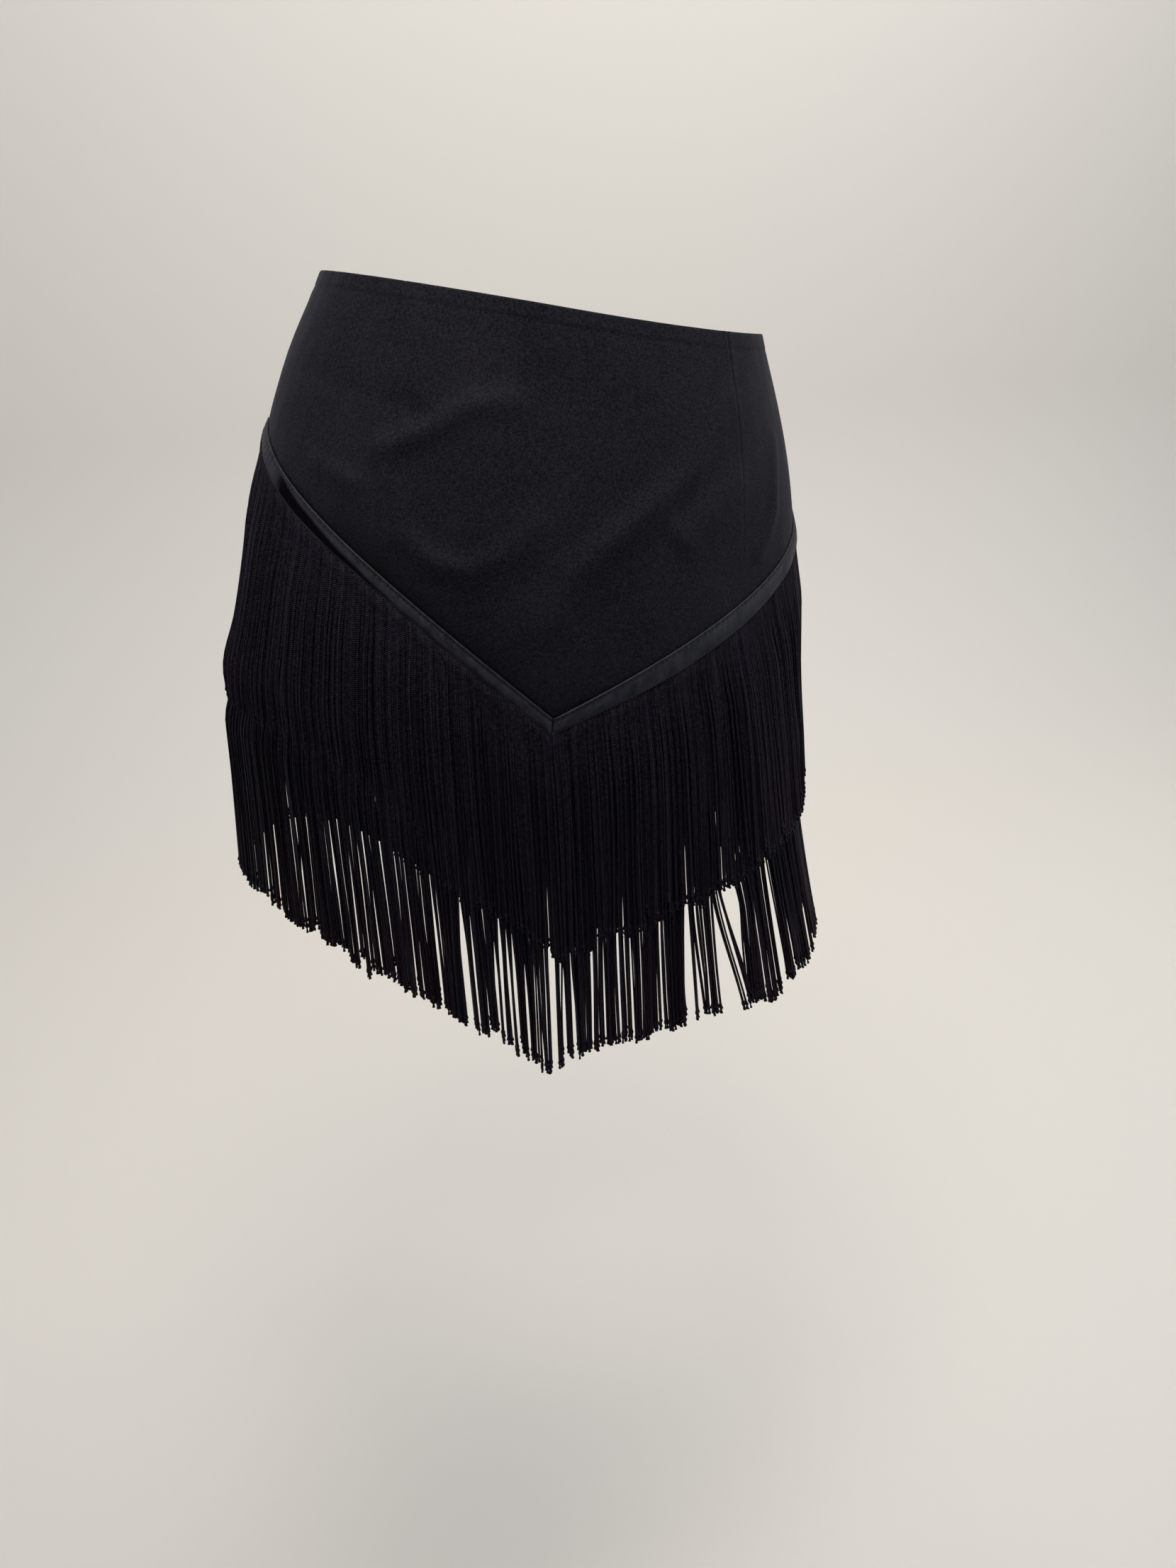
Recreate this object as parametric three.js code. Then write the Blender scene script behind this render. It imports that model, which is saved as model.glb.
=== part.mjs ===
// A fringe skirt, worn and hollow: a fitted mini skirt cut from three crepe panels, a V of narrow
// ribbon round the hips, two tiers of hanging fringe and a zip at the centre back.
// Millimetres. The origin is the middle of the waist, +Z is up, -Y is the front and +X is the
// wearer's left. Angles go round the skirt in degrees: 0 is the centre front, 90 the wearer's left.
import * as THREE from 'three';

// The skirt's own shape as ellipses down the body from the waist edge: girth 72 cm at the waist
// and 96 cm at the hem. Sway is how far the hips swing to the wearer's left.
const SECTIONS = [
  { down: 0, halfWidth: 124.4, frontDepth: 104.5, backDepth: 104, sway: 0 },
  { down: 50, halfWidth: 143.9, frontDepth: 111.2, backDepth: 119, sway: 4 },
  { down: 100, halfWidth: 156.2, frontDepth: 117, backDepth: 130, sway: 8.1 },
  { down: 150, halfWidth: 161, frontDepth: 121, backDepth: 136, sway: 11.7 },
  { down: 200, halfWidth: 167, frontDepth: 122.5, backDepth: 136, sway: 14 },
  { down: 260, halfWidth: 178, frontDepth: 120.5, backDepth: 131, sway: 16.6 },
  { down: 310, halfWidth: 186, frontDepth: 118, backDepth: 127, sway: 18.6 },
];
const WAIST_RISE = 6.9;         // the waist edge stands this much higher at the wearer's left
const HIP_TILT = 12.1;          // the wearer's right hip is up
const LEAN = -6.9;              // the hem swings forward
const CLOTH = 1.2;              // wall of crepe
const SEAM_GAP = 0.3;           // between pieces that are sewn together

// The upper edge of the V of ribbon, as a depth below the waist edge
const V_LINE = { middle: 200, side: 79.5, bow: -53 };
const LEFT_BACK_RISE = 12;      // the back ribbon starts this much higher at the left side seam

// The lower tape's lower edge lies this far below the ribbon's, and its hem edge under that
const LOWER_DROP = { middle: 71, side: 128, bow: -55 };
const HEM_BELOW_TAPE = 1.2;

// A ribbon's section: where each line of it lies across its width, and its two faces' heights
// above the cloth. Its upper edge is sewn flat and the rest covers the tape.
const RIBBON_SECTION = [
  { across: 0, inner: 0.4, outer: 1.1 },
  { across: 2.2, inner: 0.5, outer: 1.3 },
  { across: 3.4, inner: 1.8, outer: 2.6 },
  { across: 9, inner: 1.8, outer: 2.5 },
];
const RIBBON_WIDTH = 9;
const RIBBON_STEPS = 22;

// Fringe: each tape is a narrow strip whose lower edge runs on into its locks. The upper tape's
// edge peeps out under the ribbon.
const TAPE = { width: 6, peep: 0.6, inner: 0.4, outer: 1.4 };
const UPPER_LENGTH = { middle: 139, side: 147 };
const LOWER_LENGTH = 150;
// How far the wearer's thighs hold the ends of the fringe out: both tiers at the left of the
// front, and the lower one at the sides
const SWING = { leftFront: 16.5, left: 21, right: 9.5, curve: 1.3 };
const LOCKS_PER_TAPE = 30;
const LOCK_FILL = 0.8;          // a lock's share of its pitch at the tape
// Rings down a lock: along the stretch that rests on the hips, as shares of it, then the end
const UPPER_LEVELS = [
  { rest: 0.62, gap: 2.8, thick: 1.2, width: 0.94 },
  { rest: 1, gap: 3.5, thick: 1.4, width: 0.86 },
  { isEnd: true, gap: 5, thick: 1.2, width: 0.62 },
];
const LOWER_LEVELS = [
  { rest: 0.06, gap: 0.9, thick: 1.4, width: 0.96 },
  { rest: 1, gap: 0.8, thick: 1.4, width: 0.9 },
  { isEnd: true, gap: 0.9, thick: 1.2, width: 0.6 },
];
const REST_SHARE = { least: 0.45, most: 0.88 };   // the stretch on the hips, as a share of a lock
const LENGTH_SPREAD = 0.025;    // how unevenly the locks are cut, as a share of their length
const END_SWAY = 0.7;           // how far a lock's end wanders sideways
const FALL_STEP = 1.5;          // spacing of the heights where a lock is kept off the hips

// Darts are sewn folds that show as a fine groove, deepest at the waist
const FRONT_DART = { top: 41.8, bottom: 38.7, length: 110 };
const BACK_DART = { top: 141, bottom: 143, length: 120 };
const DART_GROOVE = { depth: 0.7, halfWidth: 1.4 };

// Soft ridges where the cloth drags over the hips and seat, each a line from one place on the
// cloth to another, with its height and the distance in which it fades
const FOLDS = [
  { angle: 38, down: 30, toAngle: -1, toDown: 151, height: 1.3, fade: 10 },
  { angle: -15, down: 51, toAngle: -36, toDown: 78, height: 1.1, fade: 9 },
  { angle: -36, down: 86, toAngle: -27, toDown: 122, height: 1, fade: 9 },
  { angle: -27, down: 122, toAngle: -12, toDown: 126, height: 1.2, fade: 9 },
  { angle: 57, down: 45, toAngle: 48, toDown: 104, height: 1, fade: 8 },
  { angle: 118, down: 62, toAngle: 158, toDown: 128, height: 1.2, fade: 10 },
  { angle: -112, down: 58, toAngle: -150, toDown: 112, height: 1.2, fade: 10 },
  { angle: -172, down: 70, toAngle: -150, toDown: 140, height: 1, fade: 10 },
];
const FOLD_ENDS = { from: 0.2, to: 0.8 };   // the stretch of a half wave that shapes a ridge's length
const MEAN_RADIUS = 145;        // turns an angle into a length along the cloth, for folds and darts

// Rows down each panel's wall, and its steps between a seam, its darts and the next seam
const PANEL_ROWS = 18;
const FRONT_STEPS = [6, 11, 6];
const BACK_STEPS = [7, 6];

// The zip's slider and its pull tab, in their own frame: x across, y out of the cloth, z up
const ZIP_DOWN = 11;            // the slider's place below the waist edge
const SLIDER = { width: 6, base: 1.4, height: 5, earInside: 1.5, earOutside: 2.4, earTop: 4 };
const ZIP_STANDOFF = 0.35;      // the slider's clearance over the seam
const PULL = { neck: 1.2, neckTop: 1, shoulder: 5.4, halfWidth: 3.2, length: 19, thick: 1.2 };
const PULL_PIVOT_OUT = 2.8;     // the pivot's height above the slider's back
const PULL_HOLE = 1.3;

const COLOURS = { crepe: 0x1c1c21, ribbon: 0x2b2d33, fringe: 0x15151a, zip: 0x1e1e20 };
const crepe = new THREE.MeshStandardMaterial({ color: COLOURS.crepe, roughness: 0.85, metalness: 0 });
const ribbon = new THREE.MeshStandardMaterial({ color: COLOURS.ribbon, roughness: 0.45, metalness: 0 });
const fringe = new THREE.MeshStandardMaterial({ color: COLOURS.fringe, roughness: 0.7, metalness: 0 });
const zipMetal = new THREE.MeshStandardMaterial({ color: COLOURS.zip, roughness: 0.4, metalness: 0.6 });

const { degToRad, lerp, clamp } = THREE.MathUtils;
const pose = new THREE.Matrix4()
  .makeRotationX(degToRad(LEAN))
  .multiply(new THREE.Matrix4().makeRotationY(degToRad(HIP_TILT)));
const unpose = pose.clone().invert();

// A smooth curve through one column of the section table, by cubics with matched slopes
function sectionValue(down, key) {
  const last = SECTIONS.length - 1;
  let i = 0;
  while (i < last - 1 && down > SECTIONS[i + 1].down) i += 1;
  const slope = (k) => {
    const low = SECTIONS[Math.max(k - 1, 0)];
    const high = SECTIONS[Math.min(k + 1, last)];
    return (high[key] - low[key]) / (high.down - low.down);
  };
  const a = SECTIONS[i];
  const b = SECTIONS[i + 1];
  const span = b.down - a.down;
  const t = (down - a.down) / span;
  const t2 = t * t;
  const t3 = t2 * t;
  return (2 * t3 - 3 * t2 + 1) * a[key] + (t3 - 2 * t2 + t) * span * slope(i)
    + (3 * t2 - 2 * t3) * b[key] + (t3 - t2) * span * slope(i + 1);
}

// A point of the plain form before it is tilted
function formPoint(angle, down) {
  const turn = degToRad(angle);
  const depthKey = Math.cos(turn) > 0 ? 'frontDepth' : 'backDepth';
  return new THREE.Vector3(
    sectionValue(down, 'sway') + sectionValue(down, 'halfWidth') * Math.sin(turn),
    -sectionValue(down, depthKey) * Math.cos(turn),
    -down,
  );
}

// The form's outward direction, from its slopes round and down the body
function formNormal(angle, down) {
  const step = 0.5;
  const round = formPoint(angle + step, down).sub(formPoint(angle - step, down));
  const along = formPoint(angle, down + step).sub(formPoint(angle, down - step));
  return along.cross(round).normalize();
}

// Height of the drag folds at a place: each ridge fades as a bell curve away from its line
function foldHeight(angle, down) {
  const mmPerDegree = degToRad(MEAN_RADIUS);
  let height = 0;
  for (const fold of FOLDS) {
    const lineX = (fold.toAngle - fold.angle) * mmPerDegree;
    const lineY = fold.toDown - fold.down;
    const x = (angle - fold.angle) * mmPerDegree;
    const y = down - fold.down;
    const t = clamp((x * lineX + y * lineY) / (lineX * lineX + lineY * lineY), 0, 1);
    const away = Math.hypot(x - t * lineX, y - t * lineY) / fold.fade;
    const taper = Math.sin(Math.PI * lerp(FOLD_ENDS.from, FOLD_ENDS.to, t));
    height += fold.height * Math.exp(-away * away) * taper;
  }
  return height;
}

// A point at a height above the cloth's outer face, in the worn pose
function clothPoint(angle, down, height) {
  const out = foldHeight(angle, down) + height;
  return formPoint(angle, down).addScaledVector(formNormal(angle, down), out).applyMatrix4(pose);
}

// How far an angle is from the nearer of centre front and centre back: 0 there, 1 at a side seam
function fromMiddle(angle) {
  return Math.min(Math.abs(angle), 180 - Math.abs(angle)) / 90;
}

function vDown(angle) {
  const t = fromMiddle(angle);
  const rise = angle > 90 ? LEFT_BACK_RISE * t * t : 0;
  return lerp(V_LINE.middle, V_LINE.side, t) + V_LINE.bow * t * (1 - t) - rise;
}

function upperTapeDown(angle) {
  return vDown(angle) + RIBBON_WIDTH + TAPE.peep;
}

function lowerTapeDown(angle) {
  const t = fromMiddle(angle);
  return lerp(V_LINE.middle, V_LINE.side, t) + V_LINE.bow * t * (1 - t)
    + RIBBON_WIDTH + lerp(LOWER_DROP.middle, LOWER_DROP.side, t) + LOWER_DROP.bow * t * (1 - t);
}

// Height of the waist edge over the waist's plane, as a depth
function waistDown(angle) {
  return angle > 0 ? -WAIST_RISE * Math.sin(degToRad(angle)) ** 2 : 0;
}

function upperLength(angle) {
  return lerp(UPPER_LENGTH.middle, UPPER_LENGTH.side, fromMiddle(angle) ** 2);
}

function upperSwing(angle) {
  return angle > 0 && angle < 90 ? SWING.leftFront * Math.sin(degToRad(2 * angle)) ** 2 : 0;
}

function lowerSwing(angle) {
  const most = angle > 0 ? SWING.left : SWING.right;
  return upperSwing(angle) + most * Math.sin(degToRad(angle)) ** 2;
}

function hemDown(angle) {
  return lowerTapeDown(angle) + HEM_BELOW_TAPE;
}

// A steady stand-in for chance, from -1 to 1
function uneven(n) {
  const wave = Math.sin(n * 12.9898 + 4.1) * 43758.5453;
  return 2 * (wave - Math.floor(wave)) - 1;
}

// A mesh from shared points and triangles, turned inside out if its faces point in
function closedMesh(name, material, points, triangles) {
  let volume = 0;
  for (const [a, b, c] of triangles) {
    volume += points[a].dot(points[b].clone().cross(points[c]));
  }
  const index = triangles.flatMap(([a, b, c]) => (volume > 0 ? [a, b, c] : [a, c, b]));
  const geometry = new THREE.BufferGeometry().setFromPoints(points);
  geometry.setIndex(index);
  geometry.computeVertexNormals();
  const mesh = new THREE.Mesh(geometry, material);
  mesh.name = name;
  return mesh;
}

// A closed wall between two grids of points of the same size
function wallMesh(name, material, outer, inner) {
  const columns = outer.length;
  const rows = outer[0].length;
  const points = [...outer.flat(), ...inner.flat()];
  const triangles = [];
  const quad = (a, b, c, d) => triangles.push([a, b, c], [a, c, d]);
  const out = (i, j) => i * rows + j;
  const into = (i, j) => columns * rows + out(i, j);
  for (let i = 0; i < columns - 1; i += 1) {
    for (let j = 0; j < rows - 1; j += 1) {
      quad(out(i, j), out(i, j + 1), out(i + 1, j + 1), out(i + 1, j));
      quad(into(i, j), into(i + 1, j), into(i + 1, j + 1), into(i, j + 1));
    }
    quad(out(i, 0), out(i + 1, 0), into(i + 1, 0), into(i, 0));
    quad(out(i, rows - 1), into(i, rows - 1), into(i + 1, rows - 1), out(i + 1, rows - 1));
  }
  for (let j = 0; j < rows - 1; j += 1) {
    quad(out(0, j), into(0, j), into(0, j + 1), out(0, j + 1));
    quad(out(columns - 1, j), out(columns - 1, j + 1), into(columns - 1, j + 1), into(columns - 1, j));
  }
  return closedMesh(name, material, points, triangles);
}

const halfSeam = THREE.MathUtils.radToDeg(SEAM_GAP / 2 / SECTIONS[0].frontDepth);

// One panel, from waist to hem between two seams. Its columns gather beside each dart, so that
// the groove has its own three lines of points.
function panelMesh(name, from, to, darts, steps) {
  const beside = THREE.MathUtils.radToDeg(DART_GROOVE.halfWidth / MEAN_RADIUS);
  const guides = [() => from + halfSeam];
  for (const { dart, side } of darts) {
    const line = (down) => side * lerp(dart.top, dart.bottom, down / dart.length);
    guides.push((down) => line(down) - beside, line, (down) => line(down) + beside);
  }
  guides.push(() => to - halfSeam);
  const columns = [];
  for (let g = 0; g < guides.length - 1; g += 1) {
    const isGroove = g % 3 !== 0;
    const count = isGroove ? 1 : steps[g / 3];
    for (let k = 0; k < count; k += 1) {
      const isDart = k === 0 && g % 3 === 2;
      columns.push({ at: (down) => lerp(guides[g](down), guides[g + 1](down), k / count), isDart });
    }
  }
  columns.push({ at: guides[guides.length - 1], isDart: false });
  const length = darts[0].dart.length;
  const outer = [];
  const inner = [];
  for (const column of columns) {
    const outerLine = [];
    const innerLine = [];
    for (let j = 0; j <= PANEL_ROWS; j += 1) {
      const down = lerp(waistDown(column.at(0)), hemDown(column.at(length)), j / PANEL_ROWS);
      const angle = column.at(down);
      const groove = column.isDart ? DART_GROOVE.depth * clamp(1 - down / length, 0, 1) : 0;
      outerLine.push(clothPoint(angle, down, -groove));
      innerLine.push(clothPoint(angle, down, -CLOTH));
    }
    outer.push(outerLine);
    inner.push(innerLine);
  }
  return wallMesh(name, crepe, outer, inner);
}

// Angles that share a line round the skirt into equal lengths, found by walking along it
function evenAngles(from, to, shares, downAt) {
  const walkSteps = 180;
  const lengths = [0];
  let last = clothPoint(from, downAt(from), 0);
  for (let k = 1; k <= walkSteps; k += 1) {
    const angle = lerp(from, to, k / walkSteps);
    const here = clothPoint(angle, downAt(angle), 0);
    lengths.push(lengths[k - 1] + here.distanceTo(last));
    last = here;
  }
  return shares.map((share) => {
    const target = share * lengths[walkSteps];
    let k = 0;
    while (k < walkSteps - 1 && lengths[k + 1] < target) k += 1;
    const within = (target - lengths[k]) / (lengths[k + 1] - lengths[k]);
    return lerp(from, to, (k + within) / walkSteps);
  });
}

// A ribbon along the V from its mitre at the middle to the side seam
function ribbonMesh(name, from, to) {
  const shares = Array.from({ length: RIBBON_STEPS + 1 }, (_, k) => k / RIBBON_STEPS);
  const angles = evenAngles(from, to, shares, vDown);
  const face = (side) => angles.map((angle) => RIBBON_SECTION.map(
    (line) => clothPoint(angle, vDown(angle) + line.across, line[side]),
  ));
  return wallMesh(name, ribbon, face('outer'), face('inner'));
}

// True where a point in the worn pose is inside the form, between the waist edge and the hem
function insideForm(point) {
  const local = point.clone().applyMatrix4(unpose);
  const down = -local.z;
  if (down < 0) return false;
  const depthKey = local.y < 0 ? 'frontDepth' : 'backDepth';
  const reach = Math.min(down, SECTIONS[SECTIONS.length - 1].down);
  const x = (local.x - sectionValue(reach, 'sway')) / sectionValue(reach, 'halfWidth');
  const y = local.y / sectionValue(reach, depthKey);
  if (x * x + y * y >= 1) return false;
  return down <= hemDown(THREE.MathUtils.radToDeg(Math.atan2(x, -y)));
}

// How far a point has to move along a level direction to leave the form, found by halving
const SEARCH = { reach: 90, halvings: 18 };
function wayOut(point, direction) {
  if (!insideForm(point)) return 0;
  let near = 0;
  let far = SEARCH.reach;
  for (let k = 0; k < SEARCH.halvings; k += 1) {
    const middle = (near + far) / 2;
    if (insideForm(point.clone().addScaledVector(direction, middle))) near = middle;
    else far = middle;
  }
  return far;
}

// A tape with its locks, as one body. The tape is a row of four-sided cells. Where a lock hangs,
// the cell has no lower face and the lock's rings run on from that edge, straight down, pushed
// out as far as the hips under it reach.
function fringeMesh(name, from, to, tier, seed) {
  const shares = [0];
  for (let i = 0; i < LOCKS_PER_TAPE; i += 1) {
    const middle = (i + 0.5) / LOCKS_PER_TAPE;
    const half = LOCK_FILL / 2 / LOCKS_PER_TAPE;
    shares.push(middle - half, middle + half);
  }
  shares.push(1);
  const angles = evenAngles(from, to, shares, tier.tapeDown);
  const points = [];
  const triangles = [];
  const quad = (a, b, c, d) => triangles.push([a, b, c], [a, c, d]);
  for (const angle of angles) {
    const low = tier.tapeDown(angle);
    const high = low - TAPE.width;
    points.push(clothPoint(angle, high, TAPE.outer), clothPoint(angle, low, TAPE.outer));
    points.push(clothPoint(angle, low, TAPE.inner), clothPoint(angle, high, TAPE.inner));
  }
  const last = (angles.length - 1) * 4;
  quad(0, 3, 2, 1);
  quad(last, last + 1, last + 2, last + 3);
  for (let i = 0; i < angles.length - 1; i += 1) {
    const a = i * 4;
    const b = a + 4;
    const hasLock = i % 2 === 1;
    quad(a, a + 1, b + 1, b);
    quad(a + 3, b + 3, b + 2, a + 2);
    quad(a, b, b + 3, a + 3);
    if (hasLock) addLock(points, quad, a, b, (angles[i] + angles[i + 1]) / 2, tier, seed + i);
    else quad(a + 1, a + 2, b + 2, b + 1);
  }
  return closedMesh(name, fringe, points, triangles);
}

// How far the hips hold a plumb line out, at each step down it from a place on the cloth
function hipPushes(start, out, length) {
  const pushes = [0];
  for (let fallen = FALL_STEP; fallen <= length; fallen += FALL_STEP) {
    const here = start.clone().setZ(start.z - fallen);
    pushes.push(Math.max(pushes[pushes.length - 1], wayOut(here, out)));
  }
  return pushes;
}

function addLock(points, quad, a, b, angle, tier, seed) {
  const start = clothPoint(angle, tier.tapeDown(angle), 0);
  const up = new THREE.Vector3(0, 0, 1);
  const out = clothPoint(angle, tier.tapeDown(angle), 1).sub(start);
  out.setZ(0).normalize();
  const across = up.clone().cross(out);
  const edge = points[b + 1].clone().sub(points[a + 1]);
  const halfWidth = edge.dot(across) / 2;
  const tilt = edge.z / 2;
  const length = tier.length(angle) * (1 + LENGTH_SPREAD * uneven(seed));
  const pushes = hipPushes(start, out, length);
  const most = pushes[pushes.length - 1];
  const leave = clamp(
    pushes.indexOf(most) * FALL_STEP,
    REST_SHARE.least * length,
    REST_SHARE.most * length,
  );
  let ring = [a + 1, b + 1, b + 2, a + 2];
  for (const level of tier.levels) {
    const fall = level.isEnd ? length : level.rest * leave;
    const pushed = pushes[Math.min(Math.ceil(fall / FALL_STEP), pushes.length - 1)]
      + tier.swing(angle) * (fall / length) ** SWING.curve;
    const middle = start.clone().addScaledVector(up, -fall);
    middle.addScaledVector(across, END_SWAY * uneven(seed * 1.7) * (fall / length) ** 2);
    const corner = (side, depth) => middle.clone()
      .addScaledVector(across, side * halfWidth * level.width)
      .addScaledVector(up, side * tilt * level.width)
      .addScaledVector(out, pushed + level.gap + depth);
    const first = points.length;
    points.push(corner(-1, level.thick), corner(1, level.thick), corner(1, 0), corner(-1, 0));
    const next = [first, first + 1, first + 2, first + 3];
    for (let k = 0; k < 4; k += 1) {
      const n = (k + 1) % 4;
      quad(ring[k], next[k], next[n], ring[n]);
    }
    ring = next;
  }
  quad(...ring.reverse());
}

// The slider straddles the centre back seam: a base plate with two ears that hold the pull's neck
function sliderGeometry() {
  const s = SLIDER;
  const outline = new THREE.Shape();
  outline.moveTo(-s.width / 2, 0);
  outline.lineTo(s.width / 2, 0);
  outline.lineTo(s.width / 2, s.base);
  outline.lineTo(s.earOutside, s.base);
  outline.lineTo(s.earOutside, s.earTop);
  outline.lineTo(s.earInside, s.earTop);
  outline.lineTo(s.earInside, s.base);
  outline.lineTo(-s.earInside, s.base);
  outline.lineTo(-s.earInside, s.earTop);
  outline.lineTo(-s.earOutside, s.earTop);
  outline.lineTo(-s.earOutside, s.base);
  outline.lineTo(-s.width / 2, s.base);
  outline.closePath();
  const body = new THREE.ExtrudeGeometry(outline, { depth: s.height, bevelEnabled: false });
  return body.translate(0, 0, -s.height / 2);
}

// The pull tab: a neck between the ears, widening to a drop with a small eye, about its pivot
function pullGeometry() {
  const p = PULL;
  const round = p.length - p.halfWidth;
  const outline = new THREE.Shape();
  outline.moveTo(-p.neck, p.neckTop);
  outline.lineTo(-p.neck, -p.shoulder);
  outline.lineTo(-p.halfWidth, -round);
  outline.absarc(0, -round, p.halfWidth, Math.PI, 2 * Math.PI, false);
  outline.lineTo(p.neck, -p.shoulder);
  outline.lineTo(p.neck, p.neckTop);
  outline.closePath();
  const eye = new THREE.Path();
  eye.absarc(0, -round, PULL_HOLE, 0, 2 * Math.PI, false);
  outline.holes.push(eye);
  const extrusion = { depth: p.thick, bevelEnabled: false, curveSegments: 8 };
  const plate = new THREE.ExtrudeGeometry(outline, extrusion);
  return plate.translate(0, 0, -p.thick / 2).rotateX(Math.PI / 2);
}

// Places a zip piece on the centre back seam, with its own axes along the cloth's
function placeOnBack(name, geometry, out) {
  const mesh = new THREE.Mesh(geometry, zipMetal);
  mesh.name = name;
  const outward = formNormal(180, ZIP_DOWN).transformDirection(pose);
  const across = new THREE.Vector3(1, 0, 0).transformDirection(pose);
  const up = across.clone().cross(outward);
  mesh.quaternion.setFromRotationMatrix(new THREE.Matrix4().makeBasis(across, outward, up));
  mesh.position.copy(clothPoint(180, ZIP_DOWN, 0)).addScaledVector(outward, ZIP_STANDOFF + out);
  return mesh;
}

const skirt = new THREE.Group();
const frontDarts = [{ dart: FRONT_DART, side: -1 }, { dart: FRONT_DART, side: 1 }];
const leftDart = [{ dart: BACK_DART, side: 1 }];
const rightDart = [{ dart: BACK_DART, side: -1 }];
skirt.add(panelMesh('front_panel', -90, 90, frontDarts, FRONT_STEPS));
skirt.add(panelMesh('back_left_panel', 90, 180, leftDart, BACK_STEPS));
skirt.add(panelMesh('back_right_panel', -180, -90, rightDart, BACK_STEPS.toReversed()));

const UPPER_TIER = {
  tapeDown: upperTapeDown, length: upperLength, swing: upperSwing, levels: UPPER_LEVELS,
};
const LOWER_TIER = {
  tapeDown: lowerTapeDown, length: () => LOWER_LENGTH, swing: lowerSwing, levels: LOWER_LEVELS,
};

// The ribbons and tapes come in quarters, each from a side seam to the centre front or back
const QUARTERS = [
  { name: 'front_left', from: 0, to: 90 },
  { name: 'front_right', from: -90, to: 0 },
  { name: 'back_left', from: 90, to: 180 },
  { name: 'back_right', from: -180, to: -90 },
];
QUARTERS.forEach((quarter, q) => {
  const from = quarter.from + halfSeam;
  const to = quarter.to - halfSeam;
  const seed = 100 * q;
  skirt.add(ribbonMesh(`ribbon_${quarter.name}`, from, to));
  skirt.add(fringeMesh(`fringe_upper_${quarter.name}`, from, to, UPPER_TIER, seed));
  skirt.add(fringeMesh(`fringe_lower_${quarter.name}`, from, to, LOWER_TIER, seed + 500));
});

skirt.add(placeOnBack('zip_slider', sliderGeometry(), 0));
skirt.add(placeOnBack('zip_pull', pullGeometry(), PULL_PIVOT_OUT));

export default skirt;
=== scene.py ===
"""A fringe skirt, worn and hollow: fitted black crepe panels with darts, a V of satin ribbon round
the hips, two tiers of chained cord fringe and a small zip at the centre back. Metres, in the
frame's own axes: +Z up, -Y the front, +X the wearer's left."""
import math
import bpy
import numpy as np
from mathutils import Matrix, Vector


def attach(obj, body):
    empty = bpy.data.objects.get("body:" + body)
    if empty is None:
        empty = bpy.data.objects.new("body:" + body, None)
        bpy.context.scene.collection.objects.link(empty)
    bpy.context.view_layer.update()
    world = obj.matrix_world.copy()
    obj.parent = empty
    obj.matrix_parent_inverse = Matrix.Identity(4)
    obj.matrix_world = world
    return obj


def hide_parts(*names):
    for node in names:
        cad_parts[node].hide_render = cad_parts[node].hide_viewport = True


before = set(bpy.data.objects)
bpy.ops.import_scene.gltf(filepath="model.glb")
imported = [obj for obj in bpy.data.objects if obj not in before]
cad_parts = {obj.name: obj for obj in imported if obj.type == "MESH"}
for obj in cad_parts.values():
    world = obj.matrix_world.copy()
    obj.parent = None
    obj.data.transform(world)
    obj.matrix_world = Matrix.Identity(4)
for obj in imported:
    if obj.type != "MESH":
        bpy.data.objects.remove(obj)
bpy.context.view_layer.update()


# Camera
# The photograph is taken by hand from 0.73 m, a little above the waist and towards the wearer's
# right, looking down 28 degrees at the skirt. Its lens and place were worked out from the picture.
FRAME_HEIGHT_PX = 2212
FOCAL_PX = 1724.4
SENSOR_MM = 36.0
NEAREST_SEEN = 0.02
CAMERA_PLACE = Vector((0.0139, -0.7275, 0.0904))
CAMERA_PITCH = math.radians(28.31)
CAMERA_ROLL = math.radians(1.86)
CAMERA_ROUND = math.radians(-9.76)

turn = Matrix.Rotation(CAMERA_ROUND, 3, "Z")
ahead = Vector((0, math.cos(CAMERA_PITCH), -math.sin(CAMERA_PITCH)))
right = Vector((1, 0, 0))
below = ahead.cross(right)
picture_right = math.cos(CAMERA_ROLL) * right + math.sin(CAMERA_ROLL) * below
picture_down = -math.sin(CAMERA_ROLL) * right + math.cos(CAMERA_ROLL) * below
camera_data = bpy.data.cameras.new("camera")
camera_data.sensor_fit = "VERTICAL"
camera_data.sensor_height = SENSOR_MM
camera_data.lens = FOCAL_PX / FRAME_HEIGHT_PX * SENSOR_MM
camera_data.clip_start = NEAREST_SEEN
camera = bpy.data.objects.new("camera", camera_data)
axes = Matrix((turn @ picture_right, turn @ -picture_down, turn @ -ahead)).transposed()
camera.matrix_world = Matrix.Translation(turn @ CAMERA_PLACE) @ axes.to_4x4()
bpy.context.scene.collection.objects.link(camera)
bpy.context.scene.camera = camera


# Crepe panels
# Three pieces of fine black crepe: a front with two waist darts and two backs with one each. They
# are sewn at the sides and centre back, with the seams' edges turned back inside, faced inside the
# waist and pulled smooth over the hips.
SECTIONS = np.array([           # down, half width, front depth, back depth, sway to the left
    [0.000, 0.1244, 0.1045, 0.104, 0.0000],
    [0.050, 0.1439, 0.1112, 0.119, 0.0040],
    [0.100, 0.1562, 0.1170, 0.130, 0.0081],
    [0.150, 0.1610, 0.1210, 0.136, 0.0117],
    [0.200, 0.1670, 0.1225, 0.136, 0.0140],
    [0.260, 0.1780, 0.1205, 0.131, 0.0166],
    [0.310, 0.1860, 0.1180, 0.127, 0.0186],
])
WAIST_RISE = 0.0069             # the waist edge stands this much higher at the wearer's left
HALF_WIDTH, FRONT_DEPTH, BACK_DEPTH, SWAY = 1, 2, 3, 4
HIP_TILT = math.radians(12.1)
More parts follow.
